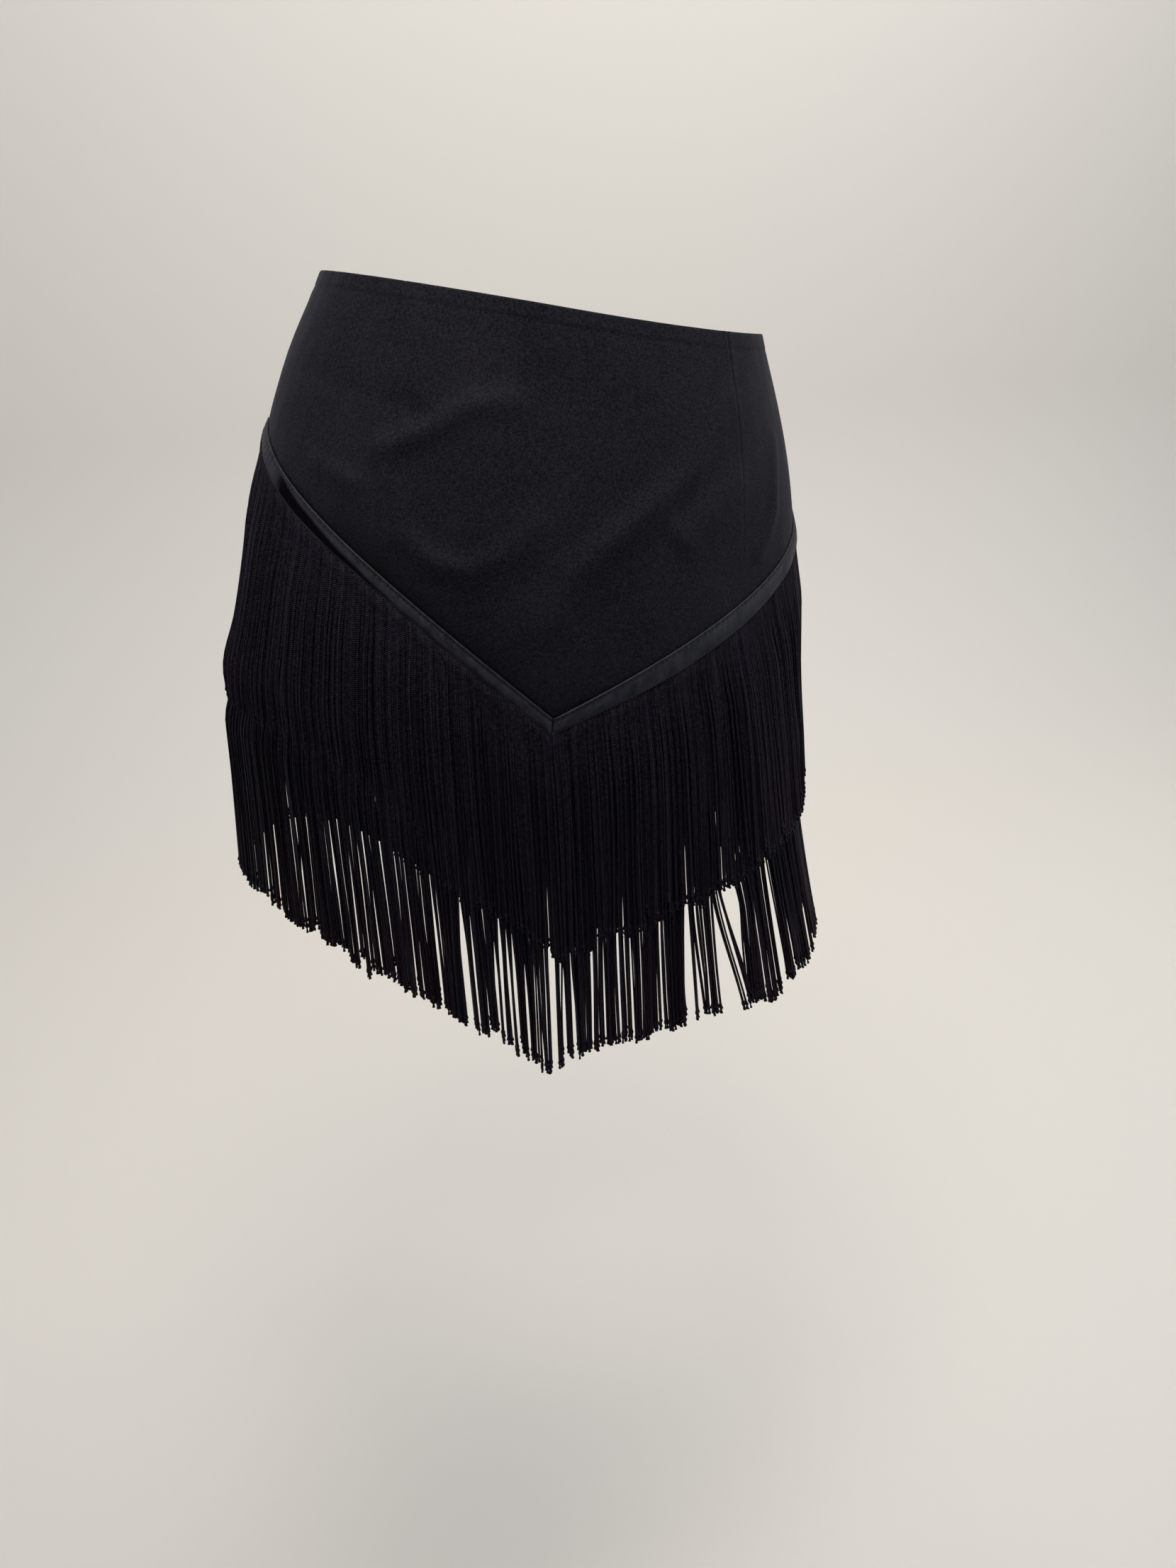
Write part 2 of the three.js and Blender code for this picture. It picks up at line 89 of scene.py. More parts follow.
LEAN = math.radians(-6.9)
POSE = np.array(Matrix.Rotation(LEAN, 3, "X") @ Matrix.Rotation(HIP_TILT, 3, "Y"))


def section_value(down, column):
    """Cubic pieces through a column of the table, each with the slope of the chord between the
    rows on either side of it."""
    downs, values = SECTIONS[:, 0], SECTIONS[:, column]
    last = len(downs) - 1
    nxt = np.minimum(np.arange(last + 1) + 1, last)
    before = np.maximum(np.arange(last + 1) - 1, 0)
    slopes = (values[nxt] - values[before]) / (downs[nxt] - downs[before])
    i = np.clip(np.searchsorted(downs, down) - 1, 0, last - 1)
    span = downs[i + 1] - downs[i]
    t = (down - downs[i]) / span
    return ((2 * t**3 - 3 * t**2 + 1) * values[i] + (t**3 - 2 * t**2 + t) * span * slopes[i]
            + (3 * t**2 - 2 * t**3) * values[i + 1] + (t**3 - t**2) * span * slopes[i + 1])


def form_depth(down, in_front):
    """How deep the form's ellipse is at that depth: one half in front, another at the back."""
    return np.where(in_front, section_value(down, FRONT_DEPTH), section_value(down, BACK_DEPTH))


def form_point(angle, down):
    """A point of the plain form: an ellipse at that depth, whose depth differs front and back."""
    turned = np.radians(angle)
    x = section_value(down, SWAY) + section_value(down, HALF_WIDTH) * np.sin(turned)
    y = -form_depth(down, np.cos(turned) > 0) * np.cos(turned)
    return np.stack([x, y, -down * np.ones_like(x)], -1)


def form_normal(angle, down):
    """Outward direction: the cross product of the form's slopes down and round the body."""
    step, small = 0.5, 0.0005
    around = form_point(angle + step, down) - form_point(angle - step, down)
    along = form_point(angle, down + small) - form_point(angle, down - small)
    normal = np.cross(along, around)
    return normal / np.linalg.norm(normal, axis=-1, keepdims=True)


# Drag folds: the fade of each to either side, and its line of places, each an angle, a depth down
# and the ridge's height there (below 0 for a hollow)
FOLDS = [
    (0.0070, [(39, 0.029, 0.5), (25, 0.068, 1.1), (15, 0.090, 1.3), (8, 0.107, 1.5), (2, 0.124, 1.2),
              (-2, 0.151, 0.5)]),
    (0.0060, [(-12, 0.046, 0.5), (-20, 0.051, 0.9), (-27, 0.064, 1.1), (-32, 0.072, 1.1),
              (-38, 0.078, 0.7)]),
    (0.0065, [(-36, 0.080, 0.7), (-35, 0.098, 1.0), (-32, 0.118, 1.2), (-25, 0.129, 1.4),
              (-18, 0.131, 1.3), (-12, 0.121, 1.0), (-7, 0.104, 0.4)]),
    (0.0050, [(31, 0.088, 0.4), (25, 0.106, 0.9), (20, 0.093, 0.4)]),
    (0.0030, [(-38, 0.088, -0.2), (-37, 0.100, -0.5), (-35, 0.114, -0.3)]),
    (0.0030, [(-51, 0.086, -0.2), (-51, 0.096, -0.5), (-49, 0.112, -0.3)]),
    (0.0070, [(39, 0.068, 0.4), (30, 0.084, 0.9), (23, 0.099, 0.5)]),
    (0.0050, [(58, 0.048, 0.4), (53, 0.083, 1.0), (46, 0.108, 0.5)]),
    (0.0055, [(-55, 0.091, 0.4), (-48, 0.096, 0.8), (-42, 0.098, 0.5)]),
    (0.0045, [(-49, 0.066, 0.2), (-44, 0.100, 0.6)]),
    (0.0040, [(-32, 0.096, 0.3), (-29, 0.116, 0.5)]),
    (0.0060, [(-64, 0.047, -0.3), (-45, 0.055, -0.4), (-28, 0.060, -0.2)]),
    (0.0090, [(112, 0.058, 0.5), (136, 0.098, 1.3), (160, 0.132, 0.6)]),
    (0.0080, [(-108, 0.055, 0.5), (-130, 0.088, 1.3), (-152, 0.114, 0.7)]),
    (0.0080, [(-174, 0.066, 0.5), (-163, 0.104, 1.1), (-149, 0.142, 0.6)]),
    (0.0070, [(96, 0.096, 0.3), (116, 0.122, 0.9), (134, 0.136, 0.4)]),
]
FOLD_SCALE = 0.0025             # metres for a height of 1
MEAN_RADIUS = 0.145             # turns an angle into a distance along the cloth


def bell(away, fade):
    """1 where away is 0, and less to either side: e to the minus square of away over fade."""
    return np.exp(-((away / fade) ** 2))


def fold_height(angle, down):
    """Sum of the folds: each fades as a bell curve away from its line, whose height varies along it."""
    total = np.zeros(np.broadcast(angle, down).shape)
    for fade, line in FOLDS:
        nearest = np.full(total.shape, np.inf)
        height = np.zeros(total.shape)
        for (a0, d0, h0), (a1, d1, h1) in zip(line[:-1], line[1:]):
            vx, vy = np.radians(a1 - a0) * MEAN_RADIUS, d1 - d0
            x, y = np.radians(angle - a0) * MEAN_RADIUS, down - d0
            t = np.clip((x * vx + y * vy) / (vx * vx + vy * vy), 0, 1)
            away = np.hypot(x - t * vx, y - t * vy)
            height = np.where(away < nearest, h0 + (h1 - h0) * t, height)
            nearest = np.minimum(nearest, away)
        total += FOLD_SCALE * height * bell(nearest, fade)
    return total


def cloth_point(angle, down, height):
    """A point at that height over the cloth's outer face, in the worn pose."""
    out = (fold_height(angle, down) + height)[..., None]
    return (form_point(angle, down) + form_normal(angle, down) * out) @ POSE.T


def outward(angle, down):
    """The direction straight out of the cloth, in the worn pose."""
    return form_normal(angle, down) @ POSE.T


# Lines round the skirt, each its depth at the middle, its depth at the side seams, and its bow
V_LINE = (0.2000, 0.0795, -0.0530)
LOWER_DROP = (0.0710, 0.1280, -0.0550)   # the lower tape's lower edge, under the ribbon's
LEFT_BACK_RISE = 0.012
RIBBON_WIDTH = 0.009            # its plain width, before it is widened to cover the tape
TAPE_REACH, REACH_MORE_LEFT, REACH_MORE_RIGHT = 0.0096, 0.0038, 0.0024
HEM_BELOW_TAPE = 0.0012         # the crepe ends this far under the lower tape's edge


def from_middle(angle):
    """0 at the centre front and back, 1 at the side seams."""
    return np.minimum(np.abs(angle), 180 - np.abs(angle)) / 90


def tape_reach(angle):
    """How far the fringe's tape shows under the ribbon's upper edge: most at the wearer's left,
    where the tape was sewn lower, and a little more at the far right."""
    left = REACH_MORE_LEFT * smooth_step(0, 24, angle) * (1 - 0.4 * smooth_step(36, 60, angle))
    right_end = REACH_MORE_RIGHT * smooth_step(28, 58, -angle)
    return TAPE_REACH + (left + right_end) * (1 - smooth_step(64, 88, np.abs(angle)))


def bowed(line, t):
    """The value of a line at t: straight from the middle to the side, plus a parabola's bow."""
    middle, side, bow = line
    return middle + (side - middle) * t + bow * t * (1 - t)


def v_down(angle):
    """Depth of the ribbon's upper edge: a bowed V, a little higher at the back of the left side."""
    t = from_middle(angle)
    return bowed(V_LINE, t) - np.where(angle > 90, LEFT_BACK_RISE * t * t, 0)


def lower_tape_down(angle):
    """Depth of the lower tape's lower edge, a flatter V than the ribbon's."""
    t = from_middle(angle)
    return bowed(V_LINE, t) + RIBBON_WIDTH + bowed(LOWER_DROP, t)


def waist_down(angle):
    """The waist edge rises above the waist's plane towards the wearer's left."""
    return np.where(angle > 0, -WAIST_RISE * np.sin(np.radians(angle)) ** 2, 0)


def smooth_step(low, high, x):
    """0 below low, 1 above high, and a smooth S between."""
    t = np.clip((x - low) / (high - low), 0, 1)
    return t * t * (3 - 2 * t)


def new_piece(name, points, faces, uvs=None):
    """A smooth mesh object at the origin, from arrays of points, four-sided faces and corner UVs."""
    mesh = bpy.data.meshes.new(name)
    mesh.vertices.add(len(points))
    mesh.vertices.foreach_set("co", np.asarray(points, np.float32).ravel())
    mesh.loops.add(faces.size)
    mesh.loops.foreach_set("vertex_index", faces.astype(np.int32).ravel())
    mesh.polygons.add(len(faces))
    mesh.polygons.foreach_set("loop_start", np.arange(0, faces.size, 4, dtype=np.int32))
    if uvs is not None:
        mesh.uv_layers.new(name="UVMap").data.foreach_set("uv", np.asarray(uvs, np.float32).ravel())
    mesh.update(calc_edges=True)
    mesh.shade_smooth()
    piece = bpy.data.objects.new(name, mesh)
    bpy.context.scene.collection.objects.link(piece)
    return piece


def grid_faces(columns, rows, start=0):
    """Faces of a grid of points stored column by column."""
    i, j = np.meshgrid(np.arange(columns - 1), np.arange(rows - 1), indexing="ij")
    a = (start + i * rows + j).ravel()
    return np.stack([a, a + 1, a + rows + 1, a + rows], -1)


def wall(name, outer, inner, outer_uv):
    """A closed thin wall: an outer and an inner grid, joined along their four edges."""
    columns, rows = outer.shape[:2]
    count = columns * rows
    out = grid_faces(columns, rows)
    index = np.arange(count).reshape(columns, rows)
    rim = np.concatenate([index[:, 0], index[-1, 1:], index[-2::-1, -1], index[0, -2::-1]])
    edge = np.stack([rim[:-1], rim[1:], rim[1:] + count, rim[:-1] + count], -1)
    faces = np.concatenate([out, out[:, ::-1] + count, edge])
    points = np.concatenate([outer.reshape(-1, 3), inner.reshape(-1, 3)])
    uv = np.concatenate([outer_uv.reshape(-1, 2)] * 2)
    return new_piece(name, points, faces, uv[faces])


def point_values(piece, name, values):
    """Gives each point of a mesh a value, which its material reads by name."""
    layer = piece.data.attributes.new(name, "FLOAT", "POINT")
    layer.data.foreach_set("value", values.astype(np.float32))


def wall_values(piece, name, values, inside=0.0):
    """Gives each point of a wall's outer face a value, and all of its inner face another."""
    point_values(piece, name, np.concatenate([values.ravel(), np.full(values.size, inside)]))


class Value:
    """A shader socket that adds Math nodes when it is used in a sum."""

    def __init__(self, tree, socket):
        self.tree, self.socket = tree, socket

    def math(self, operation, other, swapped=False):
        """This value and another put through one Math node."""
        node = self.tree.nodes.new("ShaderNodeMath")
        node.operation = operation
        for slot, value in zip(node.inputs, (other, self) if swapped else (self, other)):
            if isinstance(value, Value):
                self.tree.links.new(value.socket, slot)
            else:
                slot.default_value = value
        return Value(self.tree, node.outputs[0])

    def __add__(self, other):
        return self.math("ADD", other)

    def __sub__(self, other):
        return self.math("SUBTRACT", other)

    def __mul__(self, other):
        return self.math("MULTIPLY", other)

    def __rsub__(self, other):
        return self.math("SUBTRACT", other, swapped=True)

    __radd__, __rmul__ = __add__, __mul__


class Finish:
    """A material being made: its node tree and its Principled shader."""

    def __init__(self, name, **constants):
        self.material = bpy.data.materials.new(name)
        self.material.use_nodes = True
        self.tree = self.material.node_tree
        self.shader = self.tree.nodes["Principled BSDF"]
        for socket, value in constants.items():
            self.shader.inputs[socket.replace("_", " ")].default_value = value

    def node(self, kind, settings=None, output=0, **sockets):
        """Adds a node, sets its settings, then sets or links its sockets; gives one output."""
        made = self.tree.nodes.new("ShaderNode" + kind)
        for key, value in (settings or {}).items():
            if key == "stops":
                self.set_stops(made.color_ramp, value)
            else:
                setattr(made, key, value)
        for key, value in sockets.items():
            slot = made.inputs[int(key[1:]) if key[1:].isdigit() else key.replace("_", " ")]
            if isinstance(value, Value):
                self.tree.links.new(value.socket, slot)
            else:
                slot.default_value = value
        return Value(self.tree, made.outputs[output])

    def set_stops(self, ramp, stops):
        """Gives a colour ramp its stops, each a position and a grey level."""
        while len(ramp.elements) < len(stops):
            ramp.elements.new(1.0)
        for element, (position, grey) in zip(ramp.elements, stops):
            element.position = position
            element.color = (grey, grey, grey, 1)

    def feed(self, socket, value):
        """Links a value to one of the shader's sockets."""
        self.tree.links.new(value.socket, self.shader.inputs[socket])

    def show(self, surface):
        """Links a mixed shader to the material's surface in place of the plain one."""
        self.tree.links.new(surface.socket, self.tree.nodes["Material Output"].inputs["Surface"])

    def mix(self, factor, first, second):
        """A colour between two colours, by a factor."""
        return self.node("Mix", {"data_type": "RGBA"}, output=2, n0=factor, n6=first, n7=second)

    def bump(self, height, strength, distance):
        """Feeds a height to the shader's normal."""
        self.feed("Normal", self.node("Bump", Height=height, Strength=strength, Distance=distance))


CREPE_BLACK = (0.0026, 0.0023, 0.0052, 1)
CREPE_WORN = (0.0198, 0.0190, 0.0228, 1)
# painted shade colour, for the line along the ribbon and the patches over it
CREPE_PAINTED_SHADE = (0.0010, 0.0010, 0.0020, 1)
LINT_GREY = (0.16, 0.155, 0.15, 1)


def crepe_finish():
    """Matte black crepe: pebbled grain, faint crosswise slubs, soft greying and a few lint specks,
    and painted shade: darker in a line along the ribbon's upper edge and in patches over it."""
    cloth = Finish("crepe", Roughness=0.72, Specular_IOR_Level=0.10, Sheen_Weight=0.035,
                   Sheen_Roughness=0.4)
    cloth.shader.inputs["Sheen Tint"].default_value = (0.75, 0.8, 1.0, 1)
    place = cloth.node("TexCoord", output=3)
    grain = cloth.node("TexNoise", Vector=place, Scale=2100.0, Detail=3.0, Roughness=0.65)
    pebble = cloth.node("TexNoise", Vector=place, Scale=900.0, Detail=2.0, Roughness=0.6)
    slub_place = cloth.node("Mapping", Vector=place, Scale=(260.0, 260.0, 1500.0))
    slub = cloth.node("TexNoise", Vector=slub_place, Scale=1.0, Detail=2.0)
    cloudy = cloth.node("TexNoise", Vector=place, Scale=22.0, Detail=3.0)
    cells = cloth.node("TexVoronoi", {"feature": "F1"}, Vector=place, Scale=95.0, Randomness=1.0)
    speck = cloth.node("ValToRGB", {"stops": [(0.0, 1.0), (0.028, 1.0), (0.04, 0.0)]}, Fac=cells)
    rare = cloth.node("TexNoise", Vector=place, Scale=60.0, Detail=0.0)
    rare_mask = cloth.node("ValToRGB", {"stops": [(0.0, 0.0), (0.66, 0.0), (0.70, 1.0)]}, Fac=rare)
    base = cloth.mix(cloudy * 0.7 + pebble * 2.4 + (grain * 0.9 - 1.55), CREPE_BLACK, CREPE_WORN)
    # Painted shade: darker crepe in a line along the ribbon's upper edge and in patches over the ribbon
    above = cloth.node("Attribute", {"attribute_name": "above_ribbon"}, output=2)
    ribbon_line_shade = cloth.node("ValToRGB", {"stops": [(0.0, 1.0), (0.12, 1.0), (0.24, 0.0)]}, Fac=above)
    shade = cloth.node("Attribute", {"attribute_name": "shade"}, output=2)
    base = cloth.mix(ribbon_line_shade * 0.85, cloth.mix(shade, base, CREPE_PAINTED_SHADE), CREPE_PAINTED_SHADE)
    cloth.feed("Base Color", cloth.mix(speck * rare_mask, base, LINT_GREY))
    cloth.bump(grain * 0.7 + pebble * 0.8 + slub * 0.5, 0.6, 0.00030)
    return cloth.material


crepe = crepe_finish()

CLOTH = 0.0009                  # thickness of the crepe
FACING_DOWN = 0.0075            # the facing's seam shows as a faint ridge this far under the waist
FACING_RIDGE = 0.00016
FRONT_DART = (41.8, 40.0, 0.110)   # angle at the waist, angle at its end, length
BACK_DART = (141.0, 143.0, 0.120)
SEAM_GAP, WAIST_RADIUS = 0.00015, 0.097
SEAM_HALF = np.degrees(SEAM_GAP / WAIST_RADIUS)
# Rows of points close under the waist, and how many share the way from there to the hem
TOP_ROWS = np.array([0, 0.35, 0.8, 1.4, 2.2, 3.2, 4.3, 5.4, 6.3, 7.0, 7.6, 8.3, 9.2, 10.5, 12.5]) / 1000
BODY_ROWS = 92
UNEVEN = 0.00012                # how far the cloth's face is from smooth
# What sewing does to the cloth's face: how high or deep each is, and its fade to either side
FACING_GROOVE = (0.00012, 0.0009)
RIBBON_PULL = (0.00045, 0.0010)
DART_GROOVE, DART_LIP, DART_PUCKER = (0.00050, 0.0008), (0.00014, 0.0016), (0.00014, 0.004)
DART_LIP_AWAY = 0.0022
DART_FULLNESS = (0.0005, 0.009)
SEAM_GROOVE, SEAM_PUCKER = (0.00045, 0.0007), (0.00012, 0.0035)
DART_PUCKERS, SEAM_PUCKERS = 700, 620   # radians of their waves to a metre
EDGE_ROUND = 0.0008             # the waist's edge is rounded over this depth
RIBBON_SHADE_REACH = 0.010             # the scale of a line of painted shade on the crepe along the ribbon
RIBBON_SHADE_LOWER = 0.0012            # and that line lies this much lower towards the wearer's left
# Patches of painted shade over the ribbon: how dark, how far up, their middle angle and how far round
SHADE_PATCHES = [(0.75, 0.014, -36, 17), (0.40, 0.030, -4, 20)]


def dart_angle(dart, down):
    """A dart's line: its angle changes evenly with depth."""
    top, bottom, length = dart
    return top + (bottom - top) * down / length


NEAR_SEAM = np.degrees(np.array([0.0, 0.35, 0.8, 1.4, 2.2, 3.4]) / 1000 / MEAN_RADIUS)
MEASURED_AT = 0.11              # the columns are shared out at this depth


def guide_angles(edges, lines, down):
    """A panel's edges and darts at each depth, from one side of the panel to the other."""
    darts = [side * dart_angle(dart, down) for dart, side in lines]
    return np.stack([np.full_like(down, edges[0])] + darts + [np.full_like(down, edges[1])])


def panel_columns(edges, lines, steps):
    """Where a panel's columns go: the guide on the left of each, and its share of the way to the
    next guide. They are even, and finer beside each guide."""
    at = guide_angles(edges, lines, np.array([MEASURED_AT]))[:, 0]
    left, shares = [], []
    for k, count in enumerate(steps):
        near = NEAR_SEAM / (at[k + 1] - at[k])
        even = np.linspace(0, 1, count + 1)[1:-1]
        share = np.unique(np.round(np.concatenate([near, even, 1 - near]), 6))[:-1]
        left.append(np.full(len(share), k))
        shares.append(share)
    left.append([len(steps) - 1])
    shares.append([1.0])
    left, shares = np.concatenate(left), np.concatenate(shares)
    return left, shares, at[left] + (at[left + 1] - at[left]) * shares


def relief(feature, away):
    """A feature's height where away is 0, fading to either side as a bell curve."""
    height, fade = feature
    return height * bell(away, fade)


def dart_relief(dart, side, angle, down):
    """A sewn dart: a groove that closes towards its point, with a lip on either side and puckers
    along it, and the cloth's fullness round its point."""
    length = dart[2]
    away = np.radians(angle - side * dart_angle(dart, down)) * MEAN_RADIUS
    depth = np.clip(1.1 - down / length, 0, 1) ** 0.7 * (down < length)
    puckers = relief(DART_PUCKER, away) * np.sin(down * DART_PUCKERS + 3 * side)
    lips = relief(DART_LIP, np.abs(away) - DART_LIP_AWAY)
    point = relief(DART_FULLNESS, np.hypot(away, down - length))
    return depth * (lips + puckers - relief(DART_GROOVE, away)) + point


def seam_relief(edge, angle, down):
    """A panel's sewn edge, which rolls in, with puckers beside it."""
    away = np.radians(angle - edge) * MEAN_RADIUS
    return relief(SEAM_PUCKER, away) * np.sin(down * SEAM_PUCKERS) - relief(SEAM_GROOVE, away)


def crepe_panel(name, edges, lines, steps):
    """A panel from waist to hem. Its outer face carries the facing's ridge, the sewn darts and
    rolled seams; its inner face follows it without them."""
    edges = (edges[0] + SEAM_HALF, edges[1] - SEAM_HALF)
    left, across, middle = panel_columns(edges, lines, steps)
    hem = lower_tape_down(middle) + HEM_BELOW_TAPE
    shares = np.linspace(0, 1, BODY_ROWS + 1)[1:]
    top = waist_down(middle)[:, None] + TOP_ROWS[None, :]
    down = np.concatenate([top, top[:, -1:] + (hem[:, None] - top[:, -1:]) * shares[None, :]], 1)
    under = down - top[:, :1]
    guides, column = guide_angles(edges, lines, down), np.arange(len(left))
    angle = guides[left, column] + (guides[left + 1, column] - guides[left, column]) * across[:, None]
    above = v_down(angle) - down
    height = FACING_RIDGE * (1 - smooth_step(FACING_DOWN - 0.0012, FACING_DOWN + 0.0008, under))
    height -= relief(FACING_GROOVE, under - FACING_DOWN - 0.0009)
    height += UNEVEN * np.sin(angle * 0.71 + down * 90) * np.sin(angle * 0.23 - down * 61 + 1.3)
    height -= relief(RIBBON_PULL, above - 0.0005)
    height += sum(dart_relief(dart, side, angle, down) for dart, side in lines)
    height += sum(seam_relief(edge, angle, down) for edge in edges)
    rounding = np.clip(1 - under / EDGE_ROUND, 0, 1) ** 2
    outer = cloth_point(angle, down, height - 0.0003 * rounding)
    inner = cloth_point(angle, down, -CLOTH + 0.0002 * rounding)
    girth = np.radians(angle) * MEAN_RADIUS
    piece = wall(name, outer, inner, np.stack([girth, -down], -1))
    # Painted shade on the outer face: a line along the ribbon's upper edge and patches over the ribbon
    lower = RIBBON_SHADE_LOWER * smooth_step(4, 20, angle)
    wall_values(piece, "above_ribbon", np.abs(above + lower) / RIBBON_SHADE_REACH, inside=1.0)
    shade = sum(dark * bell(above, up) * bell(angle - mid, round_) for dark, up, mid, round_ in SHADE_PATCHES)
    wall_values(piece, "shade", np.clip(shade, 0, 0.9))
    piece.data.materials.append(crepe)
    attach(piece, "skirt")
    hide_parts(name[len("cloth_"):])
    return piece


ALLOWANCE = 0.006                # width of the turned-back cloth on each side of a seam
BEHIND, STRIP = 0.00005, 0.0005  # how far behind the panels it lies, and its thickness
STRIP_ENDS = (0.0012, 0.001)     # how far it stops short of the waist and of the lower tape's edge


def seam_piece(name, seam):
    """The turned-back edges behind a seam: a thin strip along the inner face, from waist to hem."""
    beside = np.linspace(-ALLOWANCE, ALLOWANCE, 9)[:, None]
    angle = (seam + np.degrees(beside / MEAN_RADIUS) + 180) % 360 - 180
    top, bottom = waist_down(angle) + STRIP_ENDS[0], lower_tape_down(angle) - STRIP_ENDS[1]
    down = top + (bottom - top) * np.linspace(0, 1, 60)[None, :]
    angle = np.repeat(angle, down.shape[1], 1)
    face = np.full(down.shape, -CLOTH - BEHIND)
    uv = np.stack([beside + 0 * down, -down], -1)
    piece = wall(name, cloth_point(angle, down, face), cloth_point(angle, down, face - STRIP), uv)
    wall_values(piece, "above_ribbon", np.ones(down.shape), inside=1.0)
    piece.data.materials.append(crepe)
    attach(piece, "skirt")
    return piece


FRONT_DARTS = [(FRONT_DART, -1), (FRONT_DART, 1)]
front_panel = crepe_panel("cloth_front_panel", (-90, 90), FRONT_DARTS, (36, 62, 36))
back_left = crepe_panel("cloth_back_left_panel", (90, 180), [(BACK_DART, 1)], (38, 30))
back_right = crepe_panel("cloth_back_right_panel", (-180, -90), [(BACK_DART, -1)], (30, 38))
SEAMS = {"seam_edges_left": 90, "seam_edges_right": -90, "seam_edges_centre_back": 180}
seam_edges = [seam_piece(name, seam) for name, seam in SEAMS.items()]


# Ribbon
# Black satin ribbon about 9 mm wide, and up to 12 mm on the wearer's left, laid along the V over the
# fringe's tape and sewn 1.7 mm under its upper edge. Four lengths meet in upright mitres at the
# centre front and back.
RIBBON_BLACK = (0.0060, 0.0060, 0.0080, 1)
RIBBON_LIGHT = (0.0240, 0.0240, 0.0310, 1)
# painted shade colour for the ribbon's turned edge
RIBBON_TURN_SHADE = (0.0032, 0.0020, 0.0032, 1)
RIBBON_PROFILE = np.array([      # across, height of the outer face over the cloth, in millimetres
    [0.00, 0.50], [0.12, 1.00], [0.45, 1.28], [0.9, 1.16], [1.3, 0.88], [1.7, 0.60], [2.1, 0.78],
    [2.7, 1.02], [3.6, 1.28], [4.6, 1.50], [5.6, 1.66], [6.6, 1.76], [7.6, 1.82], [8.4, 1.84],
    [8.8, 1.80], [9.0, 1.55],
]) / 1000
RIBBON_THICK, LEAST_GAP = 0.00045, 0.00025   # and how near the ribbon's back comes to the cloth
SEWN_AT = 0.0017
SEAM_ROW = 6                      # the profile's row just under the stitches
TAPE_SHOWS = 0.0012               # the ribbon's lower edge leaves this much of the tape in sight
LIP_AT, LIP_LESS = 0.0005, (0.00045, 0.0006)   # the lip lies flatter towards the sides
MITRE_FOLD = (0.0009, 0.0010)     # like the stitches' dips, how deep and its fade to either side
TURN_FROM, TURN_TO = -64, -33     # angles between which the turned edge narrows
TURN_START, TURN_NARROWS, TURN_SINKS = 0.0014, 0.0050, 0.0004
STITCH_PITCH = 0.0027
STITCH_SIZE, STITCH_RISE = (0.0020, 0.00042, 0.0004), 0.00095
STITCH_DIP, STITCH_PUCKER = (0.00016, 0.0005), (0.00013, 0.0032)
RIBBON_WAVE, RIBBON_TWIST = 0.00022, 0.00018
RIBBON_STEPS = 330
# The skirt's four lengths of ribbon and fringe, by the angles that they run between
QUARTERS = {"front_left": (0, 90), "front_right": (-90, 0),
            "back_left": (90, 180), "back_right": (-180, -90)}


def along_tape(quarter, down_at, count):
    """Angles that share a line round the skirt into equal lengths, and the line's length."""
    low, high = QUARTERS[quarter]
    walk = np.linspace(low + SEAM_HALF, high - SEAM_HALF, 400)
    line = cloth_point(walk, down_at(walk), np.zeros_like(walk))
    lengths = np.concatenate([[0], np.cumsum(np.linalg.norm(np.diff(line, axis=0), axis=1))])
    return np.interp(np.linspace(0, lengths[-1], count), lengths, walk), lengths[-1]


def ribbon_finish():
    """Satin ribbon: a fine crosswise weft that glints, painted highlight along its upper lip and on the
    tape below it, painted shade at the stitches and towards its lower edge, and a near-black matt
    back, painted shade, where its edge is turned."""
    satin = Finish("ribbon_satin", Roughness=0.5, Specular_IOR_Level=0.25, Sheen_Weight=0.03,
                   Sheen_Roughness=0.4)
    satin.shader.inputs["Anisotropic"].default_value = 0.4
    place = satin.node("UVMap", {"uv_map": "UVMap"})
    weft_place = satin.node("Mapping", Vector=place, Scale=(3300.0, 500.0, 1.0))
    weft = satin.node("TexNoise", Vector=weft_place, Scale=1.0, Detail=2.0)
    cloudy = satin.node("TexNoise", Vector=place, Scale=160.0, Detail=3.0)
    across = satin.node("SeparateXYZ", output=1, Vector=place) * (1 / RIBBON_WIDTH)
    # painted highlight on the tape and the ribbon's upper lip, painted shade in the stitches' groove and
    # towards its lower edge
    edge_light_and_shade = [(0.0, 1.0), (0.02, 0.6), (0.10, 0.7), (0.15, 0.1),
             (0.22, 0.1), (0.30, 0.55), (0.7, 0.45), (0.95, 0.2)]
    groove = satin.node("ValToRGB", {"stops": edge_light_and_shade}, Fac=across)
    shade = groove * 0.9 + (weft * 1.4 + cloudy * 2.4 - 1.87)
    # Painted shade in the turned edge: a near-black matt shader is mixed in there
    back = satin.node("Attribute", {"attribute_name": "turned"}, output=2)
    satin.feed("Base Color", satin.mix(shade, RIBBON_BLACK, RIBBON_LIGHT))
    satin.feed("Roughness", cloudy * 0.2 + 0.40)
    satin.bump(weft + cloudy * 0.6, 0.45, 0.00018)
    glossy = Value(satin.tree, satin.shader.outputs[0])
    matt = satin.node("BsdfPrincipled", Base_Color=RIBBON_TURN_SHADE, Roughness=0.9,
                      Specular_IOR_Level=0.02)
    satin.show(satin.node("MixShader", n0=back, n1=glossy, n2=matt))
    return satin.material


